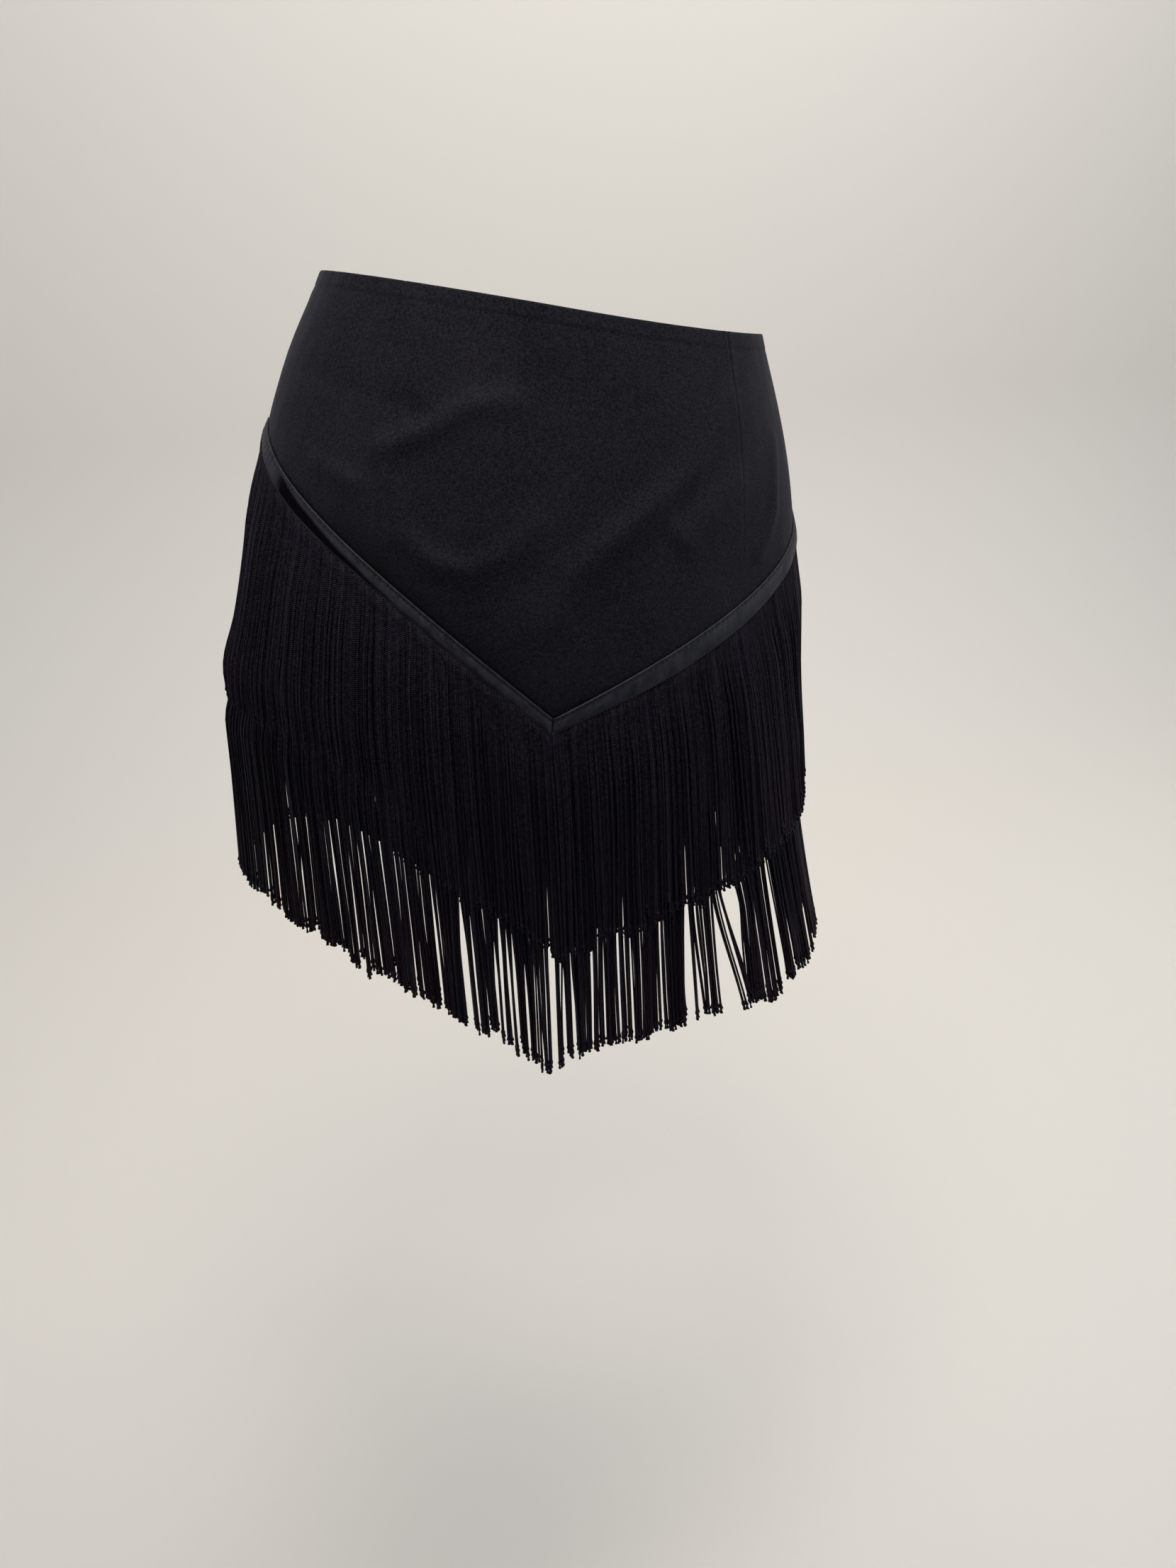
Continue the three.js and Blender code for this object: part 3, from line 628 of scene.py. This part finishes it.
def ribbon_height(along, across):
    """Puckers that slant from the stitches, a dip at each stitch, and slow waves and twists in the
    loose part below them."""
    from_stitches = across - SEWN_AT
    pucker = relief(STITCH_PUCKER, from_stitches)
    pucker = pucker * np.sin(along * 1500 + across * 420 + 1.7 * np.sin(along * 97))
    slow = np.sin(along * 210 + 2.1 * np.sin(along * 41)) * smooth_step(0.002, 0.006, across)
    dip = relief(STITCH_DIP, from_stitches) * np.cos(2 * np.pi * along / STITCH_PITCH)
    twist = np.sin(across * 2300 - along * 190 + 0.8 * np.sin(along * 60))
    twist = twist * smooth_step(0.002, 0.004, across) * np.clip(np.sin(along * 23 + 0.6), 0, 1)
    return pucker + RIBBON_WAVE * slow + dip + RIBBON_TWIST * twist


def turned(angle, across, width):
    """On the wearer's right the ribbon's lower edge is turned under, and the turn shows as painted
    shade, a near-black matt back: 1 in the turn, which is widest near the side and narrows to a line
    towards the centre front."""
    t = np.clip((angle - TURN_FROM) / (TURN_TO - TURN_FROM), 0, 1)
    edge = TURN_START + TURN_NARROWS * t**0.7 + 0.0006 * smooth_step(-30, 0, angle)
    inside = smooth_step(TURN_FROM - 5, TURN_FROM, angle) * (1 - smooth_step(2, 8, angle))
    depth = 1 - 0.35 * smooth_step(-40, -25, angle)
    under_edge = smooth_step(edge - 0.0003, edge + 0.0018, across)
    return inside * depth * under_edge * (1 - smooth_step(width - 0.0005, width, across))


def ribbon_piece(quarter):
    """A ribbon's length as a wall: its profile carried along the V."""
    angle, length = along_tape(quarter, v_down, RIBBON_STEPS)
    width = (tape_reach(angle) - TAPE_SHOWS)[:, None]
    plain, height = RIBBON_PROFILE[None, :, 0], RIBBON_PROFILE[None, :, 1]
    flat_from = RIBBON_PROFILE[SEAM_ROW, 0]
    wider = (width - flat_from) / (RIBBON_WIDTH - flat_from)
    across = np.where(plain > flat_from, flat_from + (plain - flat_from) * wider, plain)
    along = np.linspace(0, length, len(angle))[:, None]
    flatter = smooth_step(4, 24, angle) + smooth_step(40, 56, -angle)
    height = height - flatter[:, None] * relief(LIP_LESS, plain - LIP_AT) + ribbon_height(along, across)
    to_mitre = along if quarter in ("front_left", "back_right") else length - along
    turn = turned(angle[:, None], across, width)
    height -= relief(MITRE_FOLD, to_mitre) + TURN_SINKS * turn
    angles = np.repeat(angle[:, None], across.shape[1], 1)
    down = v_down(angles) + across
    outer = cloth_point(angles, down, height)
    inner = cloth_point(angles, down, np.maximum(height - RIBBON_THICK, LEAST_GAP))
    uv = np.stack([along + 0 * angles, plain + 0 * angles], -1)
    piece = wall("satin_ribbon_" + quarter, outer, inner, uv)
    wall_values(piece, "turned", turn)
    piece.data.materials.append(satin_black)
    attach(piece, "skirt")
    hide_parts("ribbon_" + quarter)
    return piece


def beads(name, centres, along, across, out, size):
    """Many small rounded grains as one mesh: a sphere of rings stretched along three directions."""
    rings, sides, end_angle = 5, 6, 0.12
    polar = np.linspace(end_angle, np.pi - end_angle, rings)
    around = np.arange(sides) / sides * 2 * np.pi
    unit = np.stack([
        np.repeat(np.cos(polar)[:, None], sides, 1),
        np.sin(polar)[:, None] * np.cos(around)[None, :],
        np.sin(polar)[:, None] * np.sin(around)[None, :],
    ], -1).reshape(-1, 3) * np.array(size) / 2
    points = (centres[:, None] + unit[None, :, :1] * along[:, None]
              + unit[None, :, 1:2] * across[:, None] + unit[None, :, 2:] * out[:, None])
    i, j = np.meshgrid(np.arange(rings - 1), np.arange(sides), indexing="ij")
    a, b = (i * sides + j).ravel(), (i * sides + (j + 1) % sides).ravel()
    one = np.stack([a, b, b + sides, a + sides], -1)
    caps = np.array([[3, 2, 1, 0], [5, 4, 3, 0], [0, 1, 2, 3], [0, 3, 4, 5]])
    caps[2:] += (rings - 1) * sides
    one = np.concatenate([one, caps])
    faces = (one[None] + (np.arange(len(centres)) * rings * sides)[:, None, None]).reshape(-1, 4)
    return new_piece(name, points.reshape(-1, 3), faces)


def stitch_piece(quarter):
    """The row of stitches that holds the ribbon down, one grain of thread for each."""
    _, length = along_tape(quarter, v_down, 2)
    count = int(length / STITCH_PITCH)
    angle, _ = along_tape(quarter, v_down, count * 2 + 1)
    down = v_down(angle) + SEWN_AT
    line = cloth_point(angle, down, STITCH_RISE + 0 * angle)
    along = line[2::2] - line[:-2:2]
    along /= np.linalg.norm(along, axis=-1, keepdims=True)
    out = outward(angle, down)[1::2]
    piece = beads("stitches_" + quarter, line[1::2], along, np.cross(out, along), out, STITCH_SIZE)
    piece.data.materials.append(satin_black)
    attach(piece, "skirt")
    return piece


satin_black = ribbon_finish()
trims = [make(quarter) for quarter in QUARTERS for make in (ribbon_piece, stitch_piece)]


# Fringe
# Two tiers of chained rayon cord, 139 to 150 mm long and 1.6 mm wide, knitted into a narrow tape
# with a small toothed edge. They hang plumb from the ribbon and from the hem, part into clusters
# towards their ends, and finish in a knot with a frayed tip.
UPPER_LENGTH, UPPER_SIDE_LENGTH, LOWER_LENGTH = 0.139, 0.147, 0.150
LOWER_RIGHT_LESS = 0.006
SWING_LEFT_FRONT, SWING_LEFT, SWING_RIGHT = 0.0165, 0.021, 0.0095   # how far the ends stand out
SWING_CURVE = 1.3                 # power of the share of the fall that they stand out by
CORD_HALF_WIDTH, CORD_HALF_DEPTH = 0.00080, 0.00064


def upper_length(angle):
    """The upper tier is a little longer towards the side seams."""
    return UPPER_LENGTH + (UPPER_SIDE_LENGTH - UPPER_LENGTH) * from_middle(angle) ** 2


def lower_length(angle):
    """The lower tier is a little shorter at the wearer's right."""
    return LOWER_LENGTH - LOWER_RIGHT_LESS * smooth_step(30, 55, -angle) * smooth_step(-150, -110, angle)


def upper_swing(angle):
    """How far the ends stand out at the left of the front, most half way to the side seam."""
    return np.where((angle > 0) & (angle < 90), SWING_LEFT_FRONT * np.sin(np.radians(2 * angle)) ** 2, 0)


def lower_swing(angle):
    """The lower tier stands out as the upper one does, and at both sides."""
    most = np.where(angle > 0, SWING_LEFT, SWING_RIGHT)
    return upper_swing(angle) + most * np.sin(np.radians(angle)) ** 2


# Each tier: the pitch of its cords, the line of its tape, its length and how far its ends swing out.
# near and far: the cords' distance off the cloth. stretch and parting: how wide a cluster is and how
# wide a parting opens, in the middle and at the side. starts: shares of the fall where partings
# open, earlier by early in the middle. off: how far the cords stand off at the wearer's right, and
# between which shares. uneven: the spread of the clusters' lengths. Then how red the cords turn
# towards their ends, a painted glow of backlight through them, and how much darker they are at the
# far right, painted shade under the upper tier.
TIERS = {
    "upper": {"pitch": 0.00088, "tape": lambda angle: v_down(angle) + tape_reach(angle),
              "length": upper_length, "swing": upper_swing, "near": 0.0030, "far": 0.0054,
              "stretch": (0.006, 0.009), "parting": (0.0004, 0.0003), "starts": (0.62, 0.95),
              "early": 0.0, "off": 0.0030, "off_from": 0.62, "off_to": 0.92, "uneven": 0.0016,
              "red": 0.0, "right_shade": 0.0, "seed": 11},
    "lower": {"pitch": 0.00086, "tape": lower_tape_down,
              "length": lower_length, "swing": lower_swing, "near": 0.0008, "far": 0.0042,
              "stretch": (0.0038, 0.0120), "parting": (0.0025, 0.0014), "starts": (0.30, 0.70),
              "early": 0.36, "off": 0.0070, "off_from": 0.0, "off_to": 0.30, "uneven": 0.0026,
              "red": 0.25, "right_shade": 0.4, "seed": 47},
}
ROOT_ABOVE, ROOT_GAP = 0.0006, 0.0007   # where a cord starts, over the tape's edge and off the cloth
# How far the hips hold a cord out is found at these steps down, as far as this reach, and averaged
# over this many steps to either side
PUSH_STEP, PUSH_REACH, PUSH_BLUR = 0.0025, 0.170, 4
CORNERS = 4                       # of a cord's section
CORD_POINTS = 21
END_POINTS = np.array([0.0062, 0.0050, 0.0042, 0.0034, 0.0026, 0.0012, 0.0])   # over the cord's end
END_SWELL = np.array([1.0, 1.35, 1.75, 1.6, 0.75, 1.05, 1.5])   # the knot, and the tip that frays
END_CLEAR = 0.001                 # from the last even point to the first of those
LINK_PITCH = 0.00105
# How the cords vary: clusters' sizes and their odds, and the spreads of partings and lengths
CLUSTER_SIZES, CLUSTER_ODDS = [0.4, 0.7, 1.0, 1.5, 2.4], [0.2, 0.25, 0.25, 0.2, 0.1]
PARTING_POWER, PARTING_SPREAD = 0.7, 0.55
PAST_END = 0.002                  # clusters are shared out this far past the tape's ends
LENGTH_SPREAD = 0.0012
SHORT_ODDS, SHORT_LESS = 0.05, (0.004, 0.012)
STRAY_ODDS, STRAY_MORE = 0.07, 5.0   # a few cords wander this many times as far
WAVE_SPREAD, LEAN_SPREAD = 0.00016, 0.00020
CORD_BLACK = (0.0007, 0.0006, 0.0018, 1)
CORD_SHEEN = (0.0200, 0.0180, 0.0300, 1)
# painted glow of backlight shining through the cords' ends
CORD_BACKLIGHT_RED = (0.0200, 0.0060, 0.0075, 1)


def cord_finish():
    """Chained cord: V-shaped links down each cord, painted lighter on their ridges and darker between
    them as painted highlight and shade, a silky glint, and a red glow painted towards the ends for
    backlight shining through them.
    """
    cord = Finish("fringe_cord", Roughness=0.5, Specular_IOR_Level=0.06, Sheen_Weight=0.02,
                  Sheen_Roughness=0.35)
    cord.shader.inputs["Sheen Tint"].default_value = (0.8, 0.8, 1.0, 1)
    place = cord.node("UVMap", {"uv_map": "UVMap"})
    round_cord = cord.node("SeparateXYZ", output=0, Vector=place)
    down_cord = cord.node("SeparateXYZ", output=1, Vector=place)
    slant = (round_cord * (4 * np.pi)).math("SINE", 0.0)
    link = (down_cord * (2 * np.pi / LINK_PITCH) + slant * 1.1).math("SINE", 0.0)
    ridge = link * 0.5 + 0.5
    tone = cord.node("Attribute", {"attribute_name": "tone"}, output=2)
    red = cord.node("Attribute", {"attribute_name": "red"}, output=2)
    patchy = cord.node("TexNoise", Vector=cord.node("TexCoord", output=3), Scale=650.0, Detail=2.0)
    # Painted highlight and shade: lighter on each link's ridge and darker between links, besides each
    # cord's random tone
    dark = cord.mix(ridge * 0.7 + tone * 0.6 + (patchy * 2.6 - 1.45), CORD_BLACK, CORD_SHEEN)
    cord.feed("Base Color", cord.mix(red, dark, CORD_BACKLIGHT_RED))
    cord.feed("Roughness", 0.62 - ridge * 0.2)
    cord.bump(ridge, 0.8, 0.0004)
    return cord.material


def way_out(start, out):
    """How far each point goes along its level direction to leave the form. The form's section is
    taken at the depth reached, so the crossing with its ellipse is found again a few times."""
    local = start @ POSE
    way = out @ POSE
    reach = np.zeros(start.shape[:-1])
    for _ in range(6):
        here = local + way * reach[..., None]
        down = np.clip(-here[..., 2], 0, SECTIONS[-1, 0])
        depth, half = form_depth(down, here[..., 1] < 0), section_value(down, HALF_WIDTH)
        x, y = (local[..., 0] - section_value(down, SWAY)) / half, local[..., 1] / depth
        u, v = way[..., 0] / half, way[..., 1] / depth
        a, b, c = u * u + v * v, x * u + y * v, x * x + y * y - 1
        root = np.sqrt(np.maximum(b * b - a * c, 0))
        reach = np.where(c < 0, (-b + root) / a, 0)
    here = local + way * reach[..., None]
    down = -here[..., 2]
    middle = section_value(np.clip(down, 0, SECTIONS[-1, 0]), SWAY)
    angle = np.degrees(np.arctan2(here[..., 0] - middle, -here[..., 1]))
    covered = (down > 0) & (down <= lower_tape_down(angle) + HEM_BELOW_TAPE)
    return np.where(covered, reach, 0)


def between(pair, share):
    """The value at a share of the way from the first of a pair to the second."""
    return pair[0] + (pair[1] - pair[0]) * share


def partings(places, angle, plan, rng):
    """Where a tier parts into clusters: places along the tape, how wide each parting opens, the
    share of the fall where it starts, and how much longer each cluster hangs."""
    edges = [places[0] - PAST_END]
    while edges[-1] < places[-1] + PAST_END:
        side = from_middle(np.interp(edges[-1], places, angle)) ** PARTING_POWER
        size = rng.choice(CLUSTER_SIZES, p=CLUSTER_ODDS)
        edges.append(edges[-1] + between(plan["stretch"], side) * size)
    edges = np.array(edges)
    side = from_middle(np.interp(edges, places, angle)) ** PARTING_POWER
    widths = between(plan["parting"], side) * rng.lognormal(0, PARTING_SPREAD, len(edges))
    room = np.minimum(np.diff(edges, prepend=-1), np.diff(edges, append=1))
    widths = np.minimum(widths, 0.75 * room)
    starts = rng.uniform(*plan["starts"], len(edges)) - plan["early"] * (1 - side)
    return edges, widths, starts, rng.normal(0, plan["uneven"], len(edges))


# Where the lower tier is gathered by hand at the left of the front: the cords of each stretch of
# tape, the stretch that their ends fill (all as angles), the shares of their fall between which
# they move over, and how much longer they hang
GATHERS = [
    (17.5, 21.2, 17.8, 20.7, 0.20, 1.0, 0.000),
    (21.2, 27.0, 21.4, 24.8, 0.10, 0.9, 0.000),
    (27.0, 28.0, 27.6, 28.2, 0.30, 1.0, 0.002),
    (28.0, 28.8, 29.9, 30.3, 0.50, 1.0, 0.000),
    (28.8, 32.2, 30.2, 31.9, 0.25, 0.8, 0.001),
    (32.2, 34.2, 38.6, 39.8, 0.40, 1.0, 0.007),
    (34.2, 41.0, 39.6, 43.4, 0.00, 0.6, 0.004),
    (41.0, 47.4, 43.5, 47.5, 0.00, 0.8, 0.009),
    (47.4, 51.5, 50.4, 52.6, 0.05, 0.9, 0.005),
    (51.5, 56.0, 53.4, 56.4, 0.05, 0.9, 0.003),
    (56.0, 62.0, 57.2, 61.4, 0.10, 1.0, 0.002),
    (62.0, 68.0, 62.6, 67.0, 0.20, 1.0, 0.000),
]
GATHER_RADIUS = 0.163
STILL_LOOSE = 0.35                # share of their own drift that gathered cords keep


def hand_gathers(angle, share):
    """Sideways shift of the gathered cords, which leave the plumb line slowly and then settle."""
    shift, loose, more = np.zeros_like(share), np.ones(len(angle)), np.zeros(len(angle))
    for low, high, low_end, high_end, begins, done, longer in GATHERS:
        held = (angle >= low) & (angle < high)
        aim = low_end + (high_end - low_end) * (angle[held] - low) / (high - low)
        begun = np.clip((share[held] - begins) / (done - begins), 0, 1)
        way = (np.radians(aim - angle[held]) * GATHER_RADIUS)[:, None]
        shift[held] = way * begun**1.7 * (1.9 - 0.9 * begun)
        loose[held] = STILL_LOOSE
        more[held] = longer
    return shift, loose, more


def held_off(start, out, fall):
    """How far the hips hold each cord out at each depth of its fall: as far as they reach anywhere
    above, averaged over a short stretch."""
    steps = np.arange(0, PUSH_REACH, PUSH_STEP)
    lines = start[:, None] - steps[None, :, None] * np.array([0, 0, 1.0])
    push = np.maximum.accumulate(way_out(lines, np.repeat(out[:, None], len(steps), 1)), axis=1)
    padded = np.pad(push, ((0, 0), (PUSH_BLUR, PUSH_BLUR)), mode="edge")
    stretch = 2 * PUSH_BLUR + 1
    push = sum(padded[:, k:k + len(steps)] for k in range(stretch)) / stretch
    at = np.clip(fall / PUSH_STEP, 0, len(steps) - 1.001)
    low, rows = at.astype(int), np.arange(len(start))[:, None]
    return push[rows, low] + (push[rows, low + 1] - push[rows, low]) * (at - low)


def cord_mesh(name, path, across, out, spin, swell, fall):
    """Cords of four corners along their paths, closed at both ends. A cord's UVs are the way round
    it, from 0 to 1, and its fall in metres."""
    corners = []
    for k in range(CORNERS):
        a = k * 2 * np.pi / CORNERS
        side, front = np.cos(a) * CORD_HALF_WIDTH, np.sin(a) * CORD_HALF_DEPTH
        x = (side * np.cos(spin) - front * np.sin(spin)) * swell
        y = (side * np.sin(spin) + front * np.cos(spin)) * swell
        corners.append(path + across[:, None] * x[..., None] + out[:, None] * y[..., None])
    points = np.stack(corners, 2)
    count, total = fall.shape
    grid = np.arange(count), np.arange(total - 1), np.arange(CORNERS)
    c, m, k = np.meshgrid(*grid, indexing="ij")
    a = ((c * total + m) * CORNERS + k).ravel()
    b = ((c * total + m) * CORNERS + (k + 1) % CORNERS).ravel()
    sides = np.stack([a, b, b + CORNERS, a + CORNERS], -1)
    u0, u1 = (k / CORNERS).ravel(), ((k + 1) / CORNERS).ravel()
    v0, v1 = fall[c, m].ravel(), fall[c, m + 1].ravel()
    corner_u, corner_v = np.stack([u0, u1, u1, u0], -1), np.stack([v0, v0, v1, v1], -1)
    side_uv = np.stack([corner_u, corner_v], -1)
    first = (np.arange(count) * total * CORNERS)[:, None]
    last = first + (total - 1) * CORNERS
    caps = np.concatenate([first + np.array([[3, 2, 1, 0]]), last + np.array([[0, 1, 2, 3]])])
    faces = np.concatenate([sides, caps])[:, ::-1]
    uv = np.concatenate([side_uv, np.zeros((len(caps), 4, 2))])[:, ::-1]
    return new_piece(name, points.reshape(-1, 3), faces, uv)


def fringe_piece(quarter, tier):
    """All the cords of one tape. Each hangs plumb from the tape, held off the hips as far as they
    reach, then drifts towards its cluster. Its section is a flat diamond that twists slowly."""
    plan = TIERS[tier]
    rng = np.random.default_rng(plan["seed"] + 100 * list(QUARTERS).index(quarter))
    tape = plan["tape"]
    _, length = along_tape(quarter, tape, 2)
    count = int(length / plan["pitch"])
    even, _ = along_tape(quarter, tape, count + 1)
    angle = (even[:-1] + even[1:]) / 2
    down = tape(angle) - ROOT_ABOVE
    start = cloth_point(angle, down, np.zeros(count))
    out = outward(angle, down) * np.array([1, 1, 0])
    out /= np.linalg.norm(out, axis=-1, keepdims=True)
    across = np.cross(np.array([0, 0, 1.0]), out)
    places = np.linspace(0, length, count)
    edges, widths, starts, longer = partings(places, angle, plan, rng)
    group = np.clip(np.searchsorted(edges, places) - 1, 0, len(edges) - 2)
    by_hand = (quarter, tier) == ("front_left", "lower")

    # How long each cord is, and how far off the cloth it hangs
    fall_length = plan["length"](angle) + longer[group] + rng.normal(0, LENGTH_SPREAD, count)
    if by_hand:
        fall_length += hand_gathers(angle, np.zeros((count, 1)))[2]
    fall_length -= np.where(rng.random(count) < SHORT_ODDS, rng.uniform(*SHORT_LESS, count), 0)
    main = (fall_length - END_POINTS[0] - END_CLEAR)[:, None] * np.linspace(0, 1, CORD_POINTS)[None, :]
    fall = np.concatenate([main, fall_length[:, None] - END_POINTS[None, :]], 1)
    share = fall / fall_length[:, None]
    depth = rng.random(count)[:, None]
    off_cloth = between((plan["near"], plan["far"]), depth)
    gap = ROOT_GAP + smooth_step(0, 0.3, share) * (off_cloth - ROOT_GAP)
    gap += plan["swing"](angle)[:, None] * share**SWING_CURVE
    right_side = np.sin(np.radians(np.clip(-angle, 0, 180)))[:, None] ** 2
    gap += plan["off"] * right_side * smooth_step(plan["off_from"], plan["off_to"], share)

    # How far it drifts sideways: with its cluster, and a little by itself
    reach = (places - edges[group]) / (edges[group + 1] - edges[group])
    opened = widths[:, None] * smooth_step(starts[:, None], starts[:, None] + 0.4, share[:1])
    drift = opened[group] / 2 * ((1 - reach) ** 2)[:, None] - opened[group + 1] / 2 * (reach**2)[:, None]
    if by_hand:
        shift, loose, _ = hand_gathers(angle, share)
        drift = shift + drift * loose[:, None]
    drift += 0.0005 * share * np.sin(places[:, None] * 210 + 4 * share)
    stray = np.where(rng.random(count) < STRAY_ODDS, STRAY_MORE, 1.0)[:, None]
    wander = np.sin(share * rng.uniform(3, 8, (count, 1)) + rng.uniform(0, 6, (count, 1)))
    wander = wander * rng.normal(0, WAVE_SPREAD, (count, 1)) * stray * smooth_step(0, 0.2, share)
    wander += rng.normal(0, LEAN_SPREAD, (count, 1)) * stray * share**2
    path = start[:, None] + out[:, None] * (held_off(start, out, fall) + gap)[..., None]
    path += across[:, None] * (drift + wander)[..., None]
    path[..., 2] -= fall

    # Its slow twist, its knot and tip, and its colour, with painted shade at the far right and a painted
    # red glow of backlight towards its end
    spin = rng.uniform(0, 2 * np.pi, (count, 1)) * 0.35 + rng.normal(0, 9, (count, 1)) * fall
    swell = np.ones_like(fall)
    swell[:, CORD_POINTS:] = END_SWELL[None, :] * rng.uniform(0.85, 1.15, (count, 1))
    piece = cord_mesh(f"cords_{tier}_{quarter}", path, across, out, spin, swell, fall)
    right_shade = plan["right_shade"] * smooth_step(34, 60, -angle)
    tone = np.clip(rng.normal(0.4, 0.34, count) - right_shade, -0.2, 1)[:, None] * np.ones_like(fall)
    red = np.clip(rng.normal(plan["red"], 0.25, count), 0, 0.8)[:, None] * smooth_step(0.35, 0.9, share)
    point_values(piece, "tone", np.repeat(tone.ravel(), CORNERS))
    point_values(piece, "red", np.repeat(np.clip(red, 0.08, 1).ravel(), CORNERS))
    piece.data.materials.append(cord_black)
    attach(piece, "skirt")
    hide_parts(f"fringe_{tier}_{quarter}")
    return piece


TOOTH_PITCH, TOOTH, TOOTH_POINTS = 0.0021, 0.0011, 4
TAPE_PROFILE = np.array([         # across, height of the outer face over the cloth
    [-0.0060, 0.0006], [-0.0030, 0.0009], [-0.0012, 0.0013], [0.0, 0.0017],
])
TAPE_THICK = 0.0004


def tape_piece(quarter, tier):
    """The tape that holds the cords: a flat strip whose lower edge runs out into small teeth."""
    tape = TIERS[tier]["tape"]
    _, length = along_tape(quarter, tape, 2)
    teeth = int(length / TOOTH_PITCH)
    angle, _ = along_tape(quarter, tape, teeth * TOOTH_POINTS + 1)
    half = TOOTH_POINTS / 2
    bite = TOOTH * (1 - np.abs(np.arange(len(angle)) % TOOTH_POINTS - half) / half)
    across, lift = TAPE_PROFILE[None, :, 0], TAPE_PROFILE[None, :, 1]
    angles = np.repeat(angle[:, None], len(TAPE_PROFILE), 1)
    down = tape(angles) + across - bite[:, None] * (across == 0)
    outer = cloth_point(angles, down, lift)
    inner = cloth_point(angles, down, lift - TAPE_THICK)
    along = np.linspace(0, length, len(angle))[:, None]
    uv = np.stack([along + 0 * angles, across + 0 * angles], -1)
    piece = wall(f"tape_{tier}_{quarter}", outer, inner, uv)
    piece.data.materials.append(satin_black)
    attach(piece, "skirt")
    return piece


cord_black = cord_finish()
for tier_name in TIERS:
    for quarter_name in QUARTERS:
        trims.append(fringe_piece(quarter_name, tier_name))
        trims.append(tape_piece(quarter_name, tier_name))


# Cut sizes of the cloth
# The front is cut from a piece 0.52 by 0.31 m and each back from 0.27 by 0.31 m, with the curved
# hem and waist cut away. These sizes are not used: the line below only adds two lists together.
trims + seam_edges


# Zip
# The top of a concealed zip at the centre back. Only its black enamelled slider and the pull tab
# that hangs from it show.
ENAMEL_BLACK = (0.012, 0.012, 0.013, 1)
ENAMEL_RUBBED = (0.03, 0.03, 0.031, 1)


def enamel_finish():
    """Black enamel on pressed metal, with rubbed patches that show duller."""
    enamel = Finish("zip_enamel", Metallic=0.0, Specular_IOR_Level=0.5, Coat_Weight=0.3)
    place = enamel.node("TexCoord", output=3)
    rub = enamel.node("TexNoise", Vector=place, Scale=900.0, Detail=3.0)
    enamel.feed("Base Color", enamel.mix(rub, ENAMEL_BLACK, ENAMEL_RUBBED))
    enamel.feed("Roughness", rub * 0.25 + 0.25)
    enamel.bump(rub, 0.15, 0.0001)
    return enamel.material


enamel = enamel_finish()
for node_name in ("zip_slider", "zip_pull"):
    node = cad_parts[node_name]
    node.data.materials.clear()
    node.data.materials.append(enamel)


# Floor and light
# A pale sweep of floor and wall, and soft light from above as in a bright room.
FLOOR_DOWN, WALL_BACK, SWEEP = -1.0, 1.7, 0.6
FLOOR_AHEAD, WALL_TOP, HALF_SPAN = -3.0, 3.0, 4.0
bend = np.linspace(-np.pi / 2, 0, 16)
profile = np.concatenate([
    [[FLOOR_AHEAD, FLOOR_DOWN]],
    np.stack([WALL_BACK - SWEEP + SWEEP * np.cos(bend), FLOOR_DOWN + SWEEP + SWEEP * np.sin(bend)], -1),
    [[WALL_BACK, WALL_TOP]],
])
widths = np.linspace(-HALF_SPAN, HALF_SPAN, 9)
sweep_points = np.stack([
    np.repeat(widths[:, None], len(profile), 1),
    np.repeat(profile[None, :, 0], len(widths), 0),
    np.repeat(profile[None, :, 1], len(widths), 0),
], -1)
sweep = new_piece("sweep", sweep_points.reshape(-1, 3), grid_faces(*sweep_points.shape[:2])[:, ::-1])
PALE_PAINT = (0.81, 0.775, 0.695, 1)
paint = Finish("pale_paint", Base_Color=PALE_PAINT, Roughness=0.9, Specular_IOR_Level=0.1)
sweep.data.materials.append(paint.material)


def area_light(name, place, aim, size, power, colour):
    """A square soft light at a place, turned towards a point."""
    data = bpy.data.lights.new(name, "AREA")
    data.size, data.energy, data.color = size, power, colour
    light = bpy.data.objects.new(name, data)
    light.location = place
    light.rotation_euler = (Vector(aim) - Vector(place)).to_track_quat("-Z", "Y").to_euler()
    bpy.context.scene.collection.objects.link(light)


area_light("ceiling", (-0.06, -0.29, 0.60), (0, -0.12, -0.15), 0.30, 3.7, (1.0, 0.94, 0.84))
area_light("back_ceiling", (0.5, 0.5, 1.9), (0.3, 1.7, 0.35), 1.8, 47.0, (1.0, 0.975, 0.94))
area_light("window", (-1.9, -0.4, 0.5), (0, 0, -0.2), 1.4, 7.5, (1.0, 0.96, 0.94))
area_light("room", (1.9, -0.5, 0.4), (0, 0, -0.2), 1.4, 11.0, (0.93, 0.95, 1.0))
world = bpy.data.worlds.new("room_air")
world.use_nodes = True
world.node_tree.nodes["Background"].inputs["Color"].default_value = (0.56, 0.65, 1.0, 1)
world.node_tree.nodes["Background"].inputs["Strength"].default_value = 0.22
bpy.context.scene.world = world
bpy.context.scene.view_settings.view_transform = "Standard"
